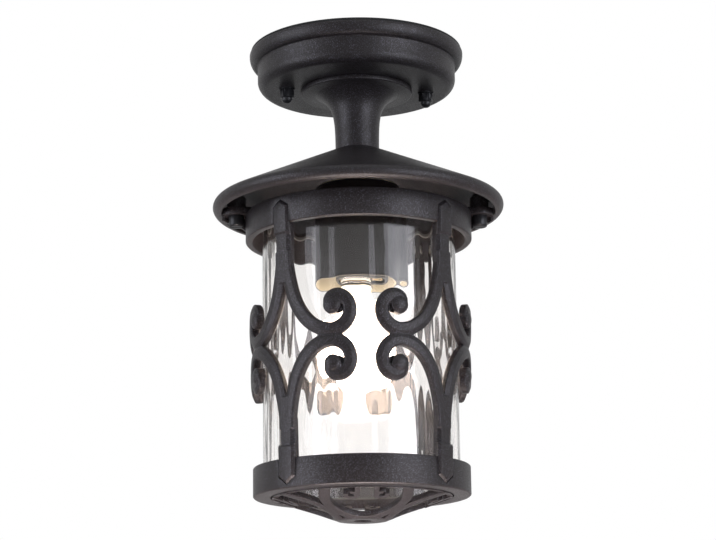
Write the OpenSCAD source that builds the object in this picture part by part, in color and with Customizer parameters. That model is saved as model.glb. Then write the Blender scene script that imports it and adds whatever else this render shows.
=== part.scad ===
// Porch ceiling lantern: a round ceiling pan, a trumpet stem and a conical hood that carry a
// lampholder, with a scrolled cage and a fluted glass cylinder screwed under the hood.
// Millimetres. Z = 0 is the ceiling, everything hangs below it. X runs through the two cage
// screws, and -Y is the side that is looked at.

/* [Ceiling pan] */
// Outer radius of the pan's rounded rim
rim_r = 80; // [72:0.5:95]
// Height of the rim under the gasket
rim_h = 10; // [7:0.5:14]
// How far the rim's rounded lower edge curves in
rim_round = 5; // [1:0.5:5.5]
// Share of the rim's height that its rounded lower edge takes up
rim_curve = 0.78; // [0.4:0.02:0.78]
// How far the rim stands out past the side wall
rim_step = 6; // [5.6:0.1:8]
// Depth of the pan from the ceiling to its bottom face
pan_depth = 30; // [26:0.5:40]
// Radius of the pan's rounded bottom corner
pan_round = 7; // [2:0.5:10]
// Thickness of the pan's metal
pan_wall = 3; // [2:0.1:4]
// Thickness of the foam gasket against the ceiling
gasket_t = 1.5; // [1:0.1:3]
// Width of the foam gasket
gasket_w = 7; // [4:0.5:8]

/* [Ceiling fixing] */
// Distance between the two studs that carry the pan
stud_spacing = 105; // [90:1:115]
// Diameter of the studs
stud_d = 4; // [3:0.1:5]
// Angle of the studs round the stem, from the X axis
stud_turn = 5; // [-30:1:30]
// Width of the mounting strap
strap_w = 20; // [16:1:30]
// Thickness of the mounting strap
strap_t = 2; // [1.5:0.1:3]
// How far the strap runs past each stud
strap_end = 8; // [6:0.5:9]
// Diameter of the circle of the two ceiling screw holes
ceiling_pcd = 60; // [50:1:76]
// Diameter of the ceiling screw holes
ceiling_hole_d = 5; // [4:0.1:6]
// Diameter of the dome nuts' collar
nut_collar_d = 10.6; // [9:0.1:12]
// Height of the dome nuts' collar
nut_collar_h = 6; // [4:0.1:7]
// Share of the collar's diameter across its six flats
nut_flats = 0.93; // [0.9:0.01:1]
// Diameter of the dome nuts' cap
nut_dome_d = 8; // [6.5:0.1:8]
// Height of a lock nut under the strap
lock_nut_h = 3.2; // [2:0.1:4]

/* [Wiring] */
// Length of the terminal block
block_l = 28; // [24:1:34]
// Width of the terminal block
block_w = 15; // [12:0.5:16]
// Height of the terminal block
block_h = 12; // [11:0.5:13]
// Distance of the terminal block from the stem's axis
block_x = 9; // [8.5:0.5:10]
// Outer diameter of an insulated lead
lead_d = 2.4; // [2:0.1:2.6]

/* [Stem] */
// Radius of the stem's round flange
flange_r = 41.5; // [36:0.5:46]
// Thickness of the flange
flange_t = 3.6; // [2.5:0.1:6]
// Radius of the trumpet where it leaves the flange
flare_r = 31; // [26:0.5:34]
// Radius of the stem's neck
neck_r = 16.2; // [12:0.2:20]
// How quickly the trumpet narrows, per millimetre
flare_rate = 0.133; // [0.08:0.005:0.2]
// Height of the stem
stem_h = 47; // [34:1:70]
// Radius of the hollow inside the stem
stem_bore_r = 11; // [7:0.5:11.5]
// Outer diameter of the threaded nipple tube
nipple_d = 10; // [8:0.1:12]
// Bore of the nipple tube
nipple_bore = 7.2; // [5:0.1:8]
// Height of the nipple nuts
nipple_nut_h = 4; // [3:0.5:5]

/* [Hood] */
// Largest radius of the hood
hood_r = 107.5; // [104:0.5:130]
// Depth of the hood from its top to its lower edge
hood_drop = 49; // [42:1:60]
// Radius of the flat on top of the hood
hood_top_r = 17; // [15:0.5:22]
// Thickness of the hood's metal
hood_t = 3; // [2:0.1:4]
// Radius of the hood's rolled edge
bead_r = 5; // [3.5:0.1:6]
// Width of the flat lip under the rolled edge
lip_w = 1.5; // [0.5:0.1:4]
// Radius of the hub under the hood's top
hub_r = 12; // [9:0.5:14]
// Depth of the hub's lower face under the hood's top
hub_drop = 28; // [24:1:32]
// Diameter of the two screw bosses
boss_d = 14; // [11:0.5:15]
// Height of the bosses' lower faces above the hood's lower edge
boss_lift = 4; // [2:0.5:6]

/* [Lampholder] */
// Radius of the can round the lampholder
can_r = 32.3; // [28:0.1:36]
// Depth of the can
can_h = 74; // [66:1:84]
// Thickness of the can's metal
can_t = 1.2; // [0.8:0.1:2]
// Radius of the lampholder's body
holder_r = 20; // [18.5:0.5:24]
// Height of the lampholder's body
holder_h = 48; // [44:1:56]
// Thickness of the lampholder's wall
holder_wall = 3; // [2:0.1:3.5]
// Height of the lampholder's threaded neck
holder_neck_h = 12; // [8:1:16]
// Radius of the lampholder's threaded neck
holder_neck_r = 9; // [7:0.5:12]
// How far the lampholder's lower rim stands above the can's edge
holder_rise = 2.5; // [0:0.5:8]
// Height of the bulb's contact above the lampholder's lower rim
contact_rise = 21; // [20:0.5:22]
// Height of the inner insulator above the bulb's contact
insulator_rise = 9; // [8:0.5:10]
// Radius of the hole in the screw shell's end
shell_hole_r = 8; // [7:0.5:9]

/* [Bulb] */
// Radius of the bulb's envelope
bulb_r = 30; // [22:0.5:32]
// Length of the bulb from its contact to its lowest point
bulb_l = 104; // [92:1:110]
// Radius of the bulb's screw cap
cap_r = 13; // [12.9:0.05:13.1]
// Height of the bulb's screw cap with its contact
cap_h = 26.5; // [24:0.5:28]

/* [Cage] */
// Outer radius of the upper ring
upper_r = 83.3; // [81.5:0.1:83.5]
// Height of the upper ring
upper_h = 20; // [16:0.5:26]
// Outer radius of the lower ring
lower_r = 78.4; // [78:0.1:82]
// Height of the lower ring
lower_h = 21; // [18:0.5:28]
// Wall of both rings
ring_wall = 5; // [4.4:0.1:5.4]
// Height of the cage from the upper ring's top to the lower ring's bottom
cage_h = 208.5; // [190:0.5:240]
// Thickness of the flange inside the top of the upper ring
top_flange_t = 2.5; // [2:0.1:4]
// Thickness of the flange inside the bottom of the lower ring
low_flange_t = 3; // [2:0.1:4]
// Radius of the opening in the lower ring's flange
low_open_r = 66; // [62:0.5:68]
// How far the ears' plates stand above the upper ring
ear_rise = 5; // [3:0.5:8]
// Thickness of the ears' plates
ear_t = 5; // [3.5:0.1:5]
// Radius of the ears' round ends
ear_r = 10.4; // [9.8:0.1:10.6]
// Height of the skirt under the ears' round ends
ear_skirt = 3.6; // [2:0.1:6]
// Radius of the cage screws' shanks
cage_shank_r = 2.4; // [2:0.1:2.6]
// Radius of the cage screws' heads
cage_head_r = 5.8; // [5:0.1:5.9]
// Height of the cage screws' heads
cage_head_h = 8.5; // [6:0.5:10]

/* [Arms] */
// Width of an arm's upright
post_w = 14; // [12:0.5:16]
// Thickness of the arms
arm_t = 6.5; // [5:0.1:6.8]
// Drop of the scrolls' middle line below the upper ring's top
scroll_drop = 104; // [96:1:116]
// Height of each scroll's sweep above and below the middle line
sweep_h = 55; // [48:0.5:60]
// Distance round the cage from an arm's centre line to the eye of its scroll
eye_reach = 39.2; // [36:0.2:41]
// Height of the eye above or below the middle line
eye_rise = 20.6; // [19:0.2:24]
// Width of the bar where it sweeps out
bar_w = 10; // [8:0.1:11]
// How far the upper and lower bars run past the middle line, into each other
bar_cross = 1.7; // [0.3:0.1:2.5]
// Width of the bar at the end of the scroll
bar_end_w = 7.4; // [5:0.1:8]
// Radius of the scroll's eye
eye_r = 6.4; // [5.5:0.1:8]
// How far the eye is domed out of the arm's face
eye_dome = 1.6; // [0.5:0.1:3]
// Bevel along the edges of the bars
bar_bevel = 1.3; // [0.5:0.1:2]
// Width of an arm's foot plate
foot_w = 16; // [14:0.5:18]
// How far the head and foot plates stand out of the rings
plate_proud = 1.5; // [0.8:0.1:2.5]
// Depth of the seats that hold the plates in the rings
seat_d = 2.2; // [1.5:0.1:2.6]

/* [Base grille] */
// Drop of the grille's disc below the lower ring
grille_drop = 17; // [12:0.5:24]
// Radius of the grille's disc
disc_r = 19; // [16:0.5:22]
// Radius of the hole in the disc
disc_hole_r = 6.5; // [4:0.5:8]
// Thickness of the grille
grille_t = 4; // [3:0.1:5]
// Width of the grille's arched ribs
rib_w = 7.8; // [6:0.1:9]
// Outer radius of the grille's arches
arch_r = 33.2; // [31:0.1:35]

/* [Glass] */
// Outer radius of the glass cylinder
glass_r = 71; // [70.5:0.1:71.4]
// Wall of the glass between two flutes
glass_t = 4; // [3:0.1:4.4]
// Number of flutes inside the glass
flutes = 24; // [16:1:32]
// Depth of the flutes
flute_d = 1.6; // [0.8:0.1:2]
// Thickness of the glass gaskets
glass_gasket_t = 2; // [1:0.1:3]

/* [Hidden] */
$fn = 96;
// Radial clearance of a screw in its hole, and of a part in its seat
fit = 0.08;
seat_fit = 0.15;
// Gap between the ears and the pockets that clear them in the hood's lip
ear_gap = 0.5;
// Gap between the cage screws' heads and the upper ring
head_gap = 0.9;
// Clearance between a cut and the face that it breaks
cut = 1;

// Heights, from the ceiling down
rim_z = -gasket_t;
pan_z = -pan_depth;
hood_z = pan_z - stem_h;
edge_z = hood_z - hood_drop;
boss_z = edge_z + boss_lift;
ring_z = boss_z - ear_rise;
ring_low_z = ring_z - upper_h;
lower_z = ring_z - cage_h;
lower_top_z = lower_z + lower_h;
mid_z = ring_z - scroll_drop;
hub_z = hood_z - hub_drop;
can_z = hub_z - can_h;
holder_z = can_z + holder_rise;
holder_top_z = holder_z + holder_h;
glass_low_z = lower_z + low_flange_t + 3 + glass_gasket_t;
glass_top_z = ring_z - top_flange_t - glass_gasket_t;
cap_clear = 0.3;

// Radii that follow
wall_r = rim_r - rim_step;
upper_in_r = upper_r - ring_wall;
lower_in_r = lower_r - ring_wall;
glass_in_r = glass_r - glass_t;
gasket_in_r = glass_in_r - 1;
gasket_out_r = glass_r + 0.5;
stud_r = stud_d / 2;
nipple_r = nipple_d / 2;
lead_r = lead_d / 2;

// Points of an arc about [x, z], from angle a to angle b in steps
function arc(x, z, r, a, b, steps = 6) =
    [for (i = [0:steps]) let (t = a + (b - a) * i / steps) [x + r * cos(t), z + r * sin(t)]];

// A solid of revolution from an outline of [radius, height] points
module turned(outline) {
    rotate_extrude() polygon(outline);
}

// A flat ring from radius r0 to r1, between heights z0 and z1
module ring(r0, r1, z0, z1) {
    translate([0, 0, z0])
        difference() {
            cylinder(r = r1, h = z1 - z0);
            translate([0, 0, -cut]) cylinder(r = r0, h = z1 - z0 + 2 * cut);
        }
}

// Copies at the two studs, which stand on the strap's turned centre line
module at_studs() {
    for (side = [-1, 1])
        rotate([0, 0, stud_turn]) translate([side * stud_spacing / 2, 0, 0]) children();
}

// Copies at the two cage screws, the second a mirror image of the first
module at_cage_screws() {
    translate([screw_r, 0, 0]) children();
    mirror([1, 0, 0]) translate([screw_r, 0, 0]) children();
}

// ---------------------------------------------------------------- ceiling part

module ceiling_gasket() {
    color("dimgray") ring(rim_r - 1 - gasket_w, rim_r - 1, rim_z, 0);
}

module ceiling_pan() {
    low = rim_z - rim_h;
    color([0.13, 0.13, 0.14])
        difference() {
            turned(concat(
                [[0, rim_z]],
                arc(rim_r - 1.5, rim_z - 1.5, 1.5, 90, 0, 4),
                [for (t = [0:10:90])
                    [rim_r - rim_round * (1 - cos(t)), low + rim_curve * rim_h * (1 - sin(t))]],
                [[wall_r, low]],
                arc(wall_r - pan_round, pan_z + pan_round, pan_round, 0, -90),
                [[0, pan_z]]
            ));
            turned(concat(
                [[0, rim_z + cut], [wall_r - pan_wall, rim_z + cut]],
                arc(wall_r - pan_round, pan_z + pan_round, pan_round - min(pan_wall, pan_round - 0.5), 0, -90),
                [[0, pan_z + pan_wall]]
            ));
            translate([0, 0, pan_z - cut]) cylinder(r = nipple_r + fit, h = pan_wall + 2 * cut);
            at_studs() translate([0, 0, pan_z - cut]) cylinder(r = stud_r + fit, h = pan_wall + 2 * cut);
        }
}

module mounting_strap() {
    length = stud_spacing + 2 * strap_end;
    color("silver")
        rotate([0, 0, stud_turn])
            difference() {
                translate([-length / 2, -strap_w / 2, -strap_t]) cube([length, strap_w, strap_t]);
                for (side = [-1, 1]) {
                    translate([side * stud_spacing / 2, 0, -strap_t - cut])
                        cylinder(r = stud_r + fit, h = strap_t + 2 * cut);
                    translate([side * ceiling_pcd / 2, 0, -strap_t - cut])
                        cylinder(d = ceiling_hole_d, h = strap_t + 2 * cut);
                }
                translate([0, 0, -strap_t - cut]) cylinder(r = nipple_r, h = strap_t + 2 * cut);
            }
}

stud_low = pan_z - 1 - nut_collar_h;

module strap_studs() {
    color("silver")
        at_studs() translate([0, 0, stud_low]) cylinder(r = stud_r, h = -stud_low);
}

module lock_nuts() {
    color("silver")
        at_studs()
            translate([0, 0, -strap_t - lock_nut_h])
                difference() {
                    cylinder(r = stud_r * 2.02, h = lock_nut_h, $fn = 6);
                    translate([0, 0, -cut]) cylinder(r = stud_r + fit, h = lock_nut_h + 2 * cut);
                }
}

module nut_washers() {
    color([0.2, 0.2, 0.21])
        at_studs() ring(stud_r + fit, nut_collar_d / 2 + 0.6, pan_z - 1, pan_z);
}

// A dome nut: a chamfered hexagon with a smaller domed cap below it, on the stud's end
module dome_nuts() {
    dome_r = nut_dome_d / 2;
    collar_z = pan_z - 1 - nut_collar_h;
    color([0.12, 0.12, 0.13])
        at_studs()
            difference() {
                intersection() {
                    turned(concat(
                        [[0, pan_z - 1], [nut_collar_d / 2 - 0.4, pan_z - 1],
                         [nut_collar_d / 2, pan_z - 1.4], [nut_collar_d / 2, collar_z + 0.4],
                         [nut_collar_d / 2 - 0.4, collar_z], [dome_r, collar_z],
                         [dome_r, collar_z - 1.2]],
                        [for (t = [15:15:90]) [dome_r * cos(t), collar_z - 1.2 - dome_r * 0.8 * sin(t)]]
                    ));
                    translate([0, 0, collar_z - 2 * dome_r])
                        cylinder(r = nut_collar_d * nut_flats / sqrt(3), h = nut_collar_h + 2 * dome_r + cut,
                                 $fn = 6);
                }
                translate([0, 0, stud_low]) cylinder(r = stud_r + fit, h = nut_collar_h + cut);
            }
}

module terminal_block() {
    color("ivory")
        rotate([0, 0, stud_turn])
            translate([block_x, 0, -strap_t - block_h])
                difference() {
                    translate([0, -block_l / 2, 0]) cube([block_w, block_l, block_h]);
                    for (way = [-1:1]) {
                        translate([-cut, way * block_l * 0.31, block_h * 0.45])
                            rotate([0, 90, 0]) cylinder(r = lead_r + fit, h = 5 + cut);
                        translate([block_w * 0.72, way * block_l * 0.31, -cut])
                            cylinder(r = 1.5 + fit, h = 4 + cut);
                    }
                }
}

module terminal_screws() {
    color("silver")
        rotate([0, 0, stud_turn])
            translate([block_x + block_w * 0.72, 0, -strap_t - block_h])
                for (way = [-1:1])
                    translate([0, way * block_l * 0.31, 0])
                        difference() {
                            cylinder(r = 1.5, h = 4);
                            translate([-2, -0.25, -cut]) cube([4, 0.5, cut + 0.6]);
                        }
}

// Place of the earth screw on the pan's floor, and the height of its foot
earth_at = [-30, 22];
earth_foot_h = 1.2;

// The earth screw, with a foot and a washer that hold the lead between them
module earth_screw() {
    washer = earth_foot_h + lead_d + 0.2;
    color("gold")
        translate([earth_at.x, earth_at.y, pan_z + pan_wall])
            difference() {
                union() {
                    cylinder(r = 4, h = earth_foot_h);
                    cylinder(r = 2, h = washer + 1);
                    translate([0, 0, washer]) cylinder(r = 4, h = 2.4);
                }
                translate([-5, -0.4, washer + 1.4]) cube([10, 0.8, 2]);
            }
}

// ---------------------------------------------------------------- leads

// A tube of eight sides along a smooth curve through points chosen by hand
function spline(p, i, t) =
    let (a = p[max(i - 1, 0)], b = p[i], c = p[i + 1], d = p[min(i + 2, len(p) - 1)])
    0.5 * (2 * b + (c - a) * t + (2 * a - 5 * b + 4 * c - d) * t * t
        + (3 * b - a - 3 * c + d) * t * t * t);

function smooth_route(p, steps) =
    concat([for (i = [0:len(p) - 2]) each [for (s = [0:steps - 1]) spline(p, i, s / steps)]],
        [p[len(p) - 1]]);

function unit(v) = v / norm(v);

module lead_tube(route, r, sides = 8) {
    p = smooth_route(route, 3);
    n = len(p);
    rings = [for (i = [0:n - 1])
        let (dir = unit(p[min(i + 1, n - 1)] - p[max(i - 1, 0)]),
             side = unit(cross(dir, abs(dir.y) > 0.9 ? [1, 0, 0] : [0, 1, 0])),
             up = cross(side, dir))
        for (k = [0:sides - 1]) p[i] + r * (side * cos(360 * k / sides) + up * sin(360 * k / sides))];
    skin = [for (i = [0:n - 2]) for (k = [0:sides - 1])
        let (j = (k + 1) % sides, a = i * sides + k, b = i * sides + j)
        each [[a, b, b + sides], [a, b + sides, a + sides]]];
    ends = concat([for (k = [1:sides - 2]) [0, k + 1, k]],
        [for (k = [1:sides - 2]) [(n - 1) * sides, (n - 1) * sides + k, (n - 1) * sides + k + 1]]);
    polyhedron(concat(rings), concat(skin, ends));
}

// Where lead number `way` leaves the terminal block, on the side that faces the stem
function block_exit(way, out = 0) =
    let (x = block_x - out, y = way * block_l * 0.31, a = stud_turn)
    [x * cos(a) - y * sin(a), x * sin(a) + y * cos(a), -strap_t - block_h * 0.55];

nipple_top_z = pan_z + pan_wall + nipple_nut_h + 3;
lead_side = lead_r + 0.35;
lead_end_z = holder_top_z - holder_wall - 10;

// Points of a supply lead: out of the block, over the end of the nipple and down its bore
function supply_route(way) = [
    block_exit(way, -4), block_exit(way, -0.5), block_exit(way, 2),
    [3, way * 6.2, -11], [0.6, way * 3, -15.5], [0, way * lead_side, nipple_top_z],
    [0, way * lead_side, nipple_top_z - 5], [0, way * lead_side, -60],
    [0, way * lead_side, -95], [0, way * lead_side, lead_end_z]
];

module live_lead() {
    color("saddlebrown") lead_tube(supply_route(1), lead_r);
}

module neutral_lead() {
    color("steelblue") lead_tube(supply_route(-1), lead_r);
}

module earth_lead() {
    seat = pan_z + pan_wall + earth_foot_h + 0.1 + lead_r;
    color("limegreen")
        lead_tube([block_exit(0, -4), block_exit(0, -0.5), block_exit(0, 2), [0, 5, -6],
            [-7, 13, -8], [-13, 21, -14], [-17, 22.4, -20], [earth_at.x + 9, earth_at.y, seat],
            [earth_at.x + 5, earth_at.y, seat], [earth_at.x + 2.4, earth_at.y, seat]], lead_r);
}

// ---------------------------------------------------------------- stem

module stem() {
    low = pan_z - flange_t;
    color([0.13, 0.13, 0.14])
        difference() {
            turned(concat(
                [[0, pan_z], [flange_r - 0.8, pan_z], [flange_r, pan_z - 0.8], [flange_r, low + 1],
                 [flange_r - 1, low]],
                [for (i = [0:18])
                    let (d = (stem_h - flange_t) * pow(i / 18, 1.5))
                    [neck_r + (flare_r - neck_r) * exp(-flare_rate * d), low - d]],
                [[0, hood_z]]
            ));
            translate([0, 0, hood_z - cut]) cylinder(r = stem_bore_r, h = stem_h + 2 * cut);
        }
}

nipple_low_z = holder_top_z + 2;

module nipple_tube() {
    color("silver") ring(nipple_bore / 2, nipple_r, nipple_low_z, nipple_top_z);
}

module nipple_nuts() {
    color("silver")
        for (z = [pan_z + pan_wall, hub_z - can_t - nipple_nut_h])
            translate([0, 0, z])
                difference() {
                    cylinder(r = nipple_r * 1.65, h = nipple_nut_h, $fn = 6);
                    translate([0, 0, -cut]) cylinder(r = nipple_r + fit, h = nipple_nut_h + 2 * cut);
                }
}

// ---------------------------------------------------------------- hood

// The cone is a line from the edge of the flat top that touches the rolled edge. The cage
// screws stand as near the upper ring as their heads allow
bead_x = hood_r - bead_r;
lip_r = bead_x - lip_w;
screw_r = upper_r + cage_head_r + head_gap;
bead_z = edge_z + bead_r;
cone_dx = bead_x - hood_top_r;
cone_dz = bead_z - hood_z;
cone_angle = atan2(cone_dz, cone_dx) + asin(bead_r / norm([cone_dx, cone_dz]));

// Height of the cone's outer and inner face at a radius
function cone_z(r) = hood_z + (r - hood_top_r) * tan(cone_angle);
function under_z(r) = cone_z(r) - hood_t / cos(cone_angle);

module hood() {
    color([0.13, 0.13, 0.14])
        difference() {
            union() {
                turned(concat(
                    [[0, hood_z], [hood_top_r, hood_z]],
                    arc(bead_x, bead_z, bead_r, 90 + cone_angle, -90, 12),
                    [[lip_r, edge_z], [lip_r, under_z(lip_r)], [hub_r, under_z(hub_r)],
                     [hub_r, hub_z], [0, hub_z]]
                ));
                at_cage_screws()
                    translate([0, 0, boss_z])
                        cylinder(d = boss_d, h = cone_z(screw_r) - hood_t / 2 - boss_z - 2);
            }
            translate([0, 0, hub_z - cut]) cylinder(r = nipple_r + fit, h = hub_drop + 2 * cut);
            at_cage_screws() {
                translate([0, 0, boss_z - cut])
                    cylinder(r = cage_shank_r + fit, h = boss_depth + cut);
                // pocket for the ear, where the lip comes that near
                translate([0, 0, edge_z - cut]) cylinder(r = ear_r + ear_gap, h = boss_z - edge_z + cut);
            }
        }
}

boss_depth = cone_z(screw_r) - boss_z - 2.2;

module holder_can() {
    color([0.16, 0.16, 0.16])
        difference() {
            turned(concat(
                [[0, hub_z]],
                arc(can_r - 4, hub_z - 4, 4, 90, 0, 4),
                [[can_r, can_z + 2], [can_r + 0.6, can_z + 1.2], [can_r + 0.6, can_z],
                 [can_r - can_t, can_z]],
                arc(can_r - 4, hub_z - 4, 4 - can_t, 0, 90, 4),
                [[0, hub_z - can_t]]
            ));
            translate([0, 0, hub_z - can_t - cut]) cylinder(r = nipple_r + fit, h = can_t + 2 * cut);
        }
}

module lampholder_body() {
    color([0.1, 0.1, 0.1])
        difference() {
            turned([
                [0, holder_top_z + holder_neck_h], [holder_neck_r - 1, holder_top_z + holder_neck_h],
                [holder_neck_r, holder_top_z + holder_neck_h - 1], [holder_neck_r, holder_top_z + 2],
                [holder_r - 4, holder_top_z], [holder_r - 1, holder_top_z - 4],
                [holder_r - 1, holder_z + 16], [holder_r, holder_z + 15], [holder_r, holder_z + 1],
                [holder_r - 1, holder_z], [0, holder_z]
            ]);
            translate([0, 0, holder_z - cut])
                cylinder(r = holder_r - 1 - holder_wall, h = holder_h - holder_wall - 4 + cut);
            translate([0, 0, nipple_low_z])
                cylinder(r = nipple_r + fit, h = holder_neck_h + cut);
            translate([0, 0, holder_top_z - 8]) cylinder(r = nipple_bore / 2, h = 12);
        }
}

// Level of the bulb's contact, and of the parts that meet it
tip_z = holder_z + contact_rise;
bulb_low_z = tip_z - bulb_l;
shell_in_r = cap_r + cap_clear;
shell_t = 0.7;
insulator_z = tip_z + insulator_rise;

module lampholder_insulator() {
    top = holder_top_z - holder_wall - 4;
    color("ivory")
        difference() {
            translate([0, 0, insulator_z])
                cylinder(r = holder_r - 1 - holder_wall - fit, h = top - insulator_z);
            for (side = [-1, 1])
                translate([0, side * lead_side, insulator_z - cut])
                    cylinder(r = lead_r + 0.3, h = top - insulator_z + 2 * cut);
        }
}

module screw_shell() {
    color("goldenrod")
        difference() {
            translate([0, 0, holder_z + 1])
                cylinder(r = shell_in_r + shell_t, h = insulator_z - holder_z - 1);
            translate([0, 0, holder_z])
                cylinder(r = shell_in_r, h = insulator_z - holder_z - shell_t);
            translate([0, 0, insulator_z - 2 * shell_t]) cylinder(r = shell_hole_r, h = 4 * shell_t);
        }
}

module centre_contact() {
    color("gold")
        difference() {
            union() {
                translate([-3, -2, tip_z + cap_clear]) cube([6, 4, 1]);
                translate([-3, -2, tip_z + cap_clear]) cube([1, 4, insulator_z - tip_z - cap_clear]);
                translate([-3, -2, insulator_z - 1]) cube([9, 4, 1]);
            }
            translate([3.5, 0, insulator_z - 2]) cylinder(r = 0.8, h = 3);
        }
}

// ---------------------------------------------------------------- cage screws

// Underside of an ear's plate, where the screw's head bears
ear_under_z = boss_z - ear_t;

module cage_screw() {
    low = ear_under_z - cage_head_h;
    difference() {
        union() {
            turned(concat(
                [[0, ear_under_z], [cage_head_r, ear_under_z], [cage_head_r, low + 2]],
                arc(cage_head_r - 2, low + 2, 2, 0, -90, 4),
                [[0, low]]
            ));
            translate([0, 0, ear_under_z - cut])
                cylinder(r = cage_shank_r, h = cut + ear_t + boss_depth - 0.5);
        }
        translate([-cage_head_r - cut, -0.9, low - cut]) cube([2 * cage_head_r + 2 * cut, 1.8, cut + 2.4]);
    }
}

module cage_screw_right() {
    color([0.15, 0.15, 0.15]) translate([screw_r, 0, 0]) rotate([0, 0, 0]) cage_screw();
}

module cage_screw_left() {
    color([0.15, 0.15, 0.15]) translate([-screw_r, 0, 0]) rotate([0, 0, 0]) cage_screw();
}

// ---------------------------------------------------------------- cage rings

// Radius of the arms' outer face at a height: the cage narrows a little towards its foot
function arm_r(z) = upper_r + (lower_r - upper_r) * (ring_z - z) / cage_h;

// Four copies, one at each arm
module at_arms() {
    for (turn = [45:90:315]) rotate([0, 0, turn]) children();
}

// Heights of the arms' head and foot plates
head_low_z = ring_low_z - 9;
head_tip_z = ring_z - 3;
head_shoulder_z = head_tip_z - 4.7;
foot_top_z = lower_top_z + 9.5;
foot_tip_z = lower_z + 2.5;
foot_shoulder_z = foot_tip_z + 5.5;

// Outline of a plate with a pointed end, seen from outside, grown by `gap`
module plate_outline(w, flat_z, shoulder_z, tip_z, gap = 0) {
    way = sign(tip_z - flat_z);
    polygon([[-w / 2 - gap, flat_z], [w / 2 + gap, flat_z], [w / 2 + gap, shoulder_z],
             [0, tip_z + way * gap * 1.3], [-w / 2 - gap, shoulder_z]]);
}

// Stands an outline of [across, height] up, facing outwards, between two distances from the axis
module stand_up(from_x, to_x) {
    translate([to_x, 0, 0]) rotate([90, 0, -90]) linear_extrude(to_x - from_x) children();
}

module head_outline(gap = 0) {
    plate_outline(post_w + 0.8, head_low_z, head_shoulder_z, head_tip_z, gap);
}

module foot_outline(gap = 0) {
    plate_outline(foot_w, foot_top_z, foot_shoulder_z, foot_tip_z, gap);
}

arm_screw_r = 2;
arm_screw_head_r = 3.6;
upper_screw_z = ring_z - upper_h * 0.62;
lower_screw_z = lower_top_z - 7;

// A countersunk screw that points outwards from the inside of a ring's wall
module arm_screw(inner_r, length) {
    translate([inner_r, 0, 0])
        rotate([0, 90, 0])
            difference() {
                union() {
                    cylinder(r1 = arm_screw_head_r, r2 = arm_screw_r, h = arm_screw_head_r - arm_screw_r);
                    cylinder(r = arm_screw_r, h = length);
                }
                translate([-arm_screw_head_r, -0.4, -cut]) cube([2 * arm_screw_head_r, 0.8, cut + 0.8]);
            }
}

// Its hole, with the countersink
module arm_screw_hole(inner_r) {
    sink = arm_screw_head_r - arm_screw_r;
    translate([inner_r, 0, 0])
        rotate([0, 90, 0]) {
            translate([0, 0, -0.5])
                cylinder(r1 = arm_screw_head_r + fit + 0.5, r2 = arm_screw_r + fit, h = sink + 0.5);
            translate([0, 0, -cut]) cylinder(r = arm_screw_r + fit, h = ring_wall + 2 * cut);
        }
}

// Distance from the axis to the flat that the countersunk heads bear in
upper_seat_r = upper_in_r + 0.3;
lower_seat_r = lower_in_r + 0.3;

// An ear: an eye plate that the cage screw passes through, with a skirt on one side that a
// sloping web joins to the ring
module ear() {
    neck_x = upper_r - 2 - screw_r;
    difference() {
        union() {
            translate([0, 0, ear_under_z]) cylinder(r = ear_r, h = ear_t);
            translate([neck_x, -ear_r + 2, ear_under_z]) cube([-neck_x, 2 * ear_r - 2, ear_t]);
            // the neck's foot, on the ring's wall
            translate([upper_in_r + 0.6 - screw_r, -ear_r + 2, ring_z - 0.5])
                cube([ring_wall - 1.6, 2 * ear_r - 2, boss_z - ring_z + 0.5]);
            // skirt round the closed side
            intersection() {
                translate([0, 0, ear_under_z - ear_skirt])
                    difference() {
                        cylinder(r = ear_r, h = ear_skirt + 0.1);
                        translate([0, 0, -cut]) cylinder(r = ear_r - 2, h = ear_skirt + 2 * cut);
                    }
                translate([-1, 0, ear_under_z - ear_skirt - cut])
                    cube([ear_r + 2, ear_r + 2, ear_skirt + 2 * cut]);
            }
            // sloping web from the skirt to the ring
            translate([0, ear_r, 0])
                rotate([90, 0, 0])
                    linear_extrude(2)
                        polygon([[neck_x, boss_z - 1], [0, boss_z - 1], [0, ear_under_z - ear_skirt],
                                 [neck_x, ring_z - upper_h * 0.55]]);
        }
        translate([0, 0, ear_under_z - cut]) cylinder(r = cage_shank_r + fit, h = ear_t + 2 * cut);
    }
}

module upper_ring() {
    color([0.13, 0.13, 0.14])
        difference() {
            union() {
                turned([
                    [gasket_in_r, ring_z], [upper_r - 0.6, ring_z], [upper_r, ring_z - 0.6],
                    [upper_r, ring_low_z + 0.6], [upper_r - 0.6, ring_low_z],
                    [upper_in_r, ring_low_z], [upper_in_r, ring_z - top_flange_t],
                    [gasket_in_r, ring_z - top_flange_t]
                ]);
                at_cage_screws() ear();
            }
            at_arms() {
                stand_up(upper_r - seat_d, upper_r + cut) head_outline(seat_fit);
                translate([0, 0, upper_screw_z]) arm_screw_hole(upper_seat_r);
            }
        }
}

module lower_ring() {
    color([0.13, 0.13, 0.14])
        difference() {
            turned([
                [low_open_r, lower_z], [lower_r - 0.8, lower_z], [lower_r, lower_z + 0.8],
                [lower_r, lower_top_z - 0.6], [lower_r - 0.6, lower_top_z],
                [lower_in_r, lower_top_z], [lower_in_r, lower_z + low_flange_t],
                [low_open_r, lower_z + low_flange_t]
            ]);
            at_arms() {
                stand_up(lower_r - seat_d, lower_r + cut) foot_outline(seat_fit);
                translate([0, 0, lower_screw_z]) arm_screw_hole(lower_seat_r);
            }
        }
}

module upper_arm_screws() {
    color("silver")
        at_arms() translate([0, 0, upper_screw_z]) arm_screw(upper_seat_r, ring_wall - 0.5);
}

module lower_arm_screws() {
    color("silver")
        at_arms() translate([0, 0, lower_screw_z]) arm_screw(lower_seat_r, ring_wall - 0.5);
}

// ---------------------------------------------------------------- scrolled arms

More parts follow.
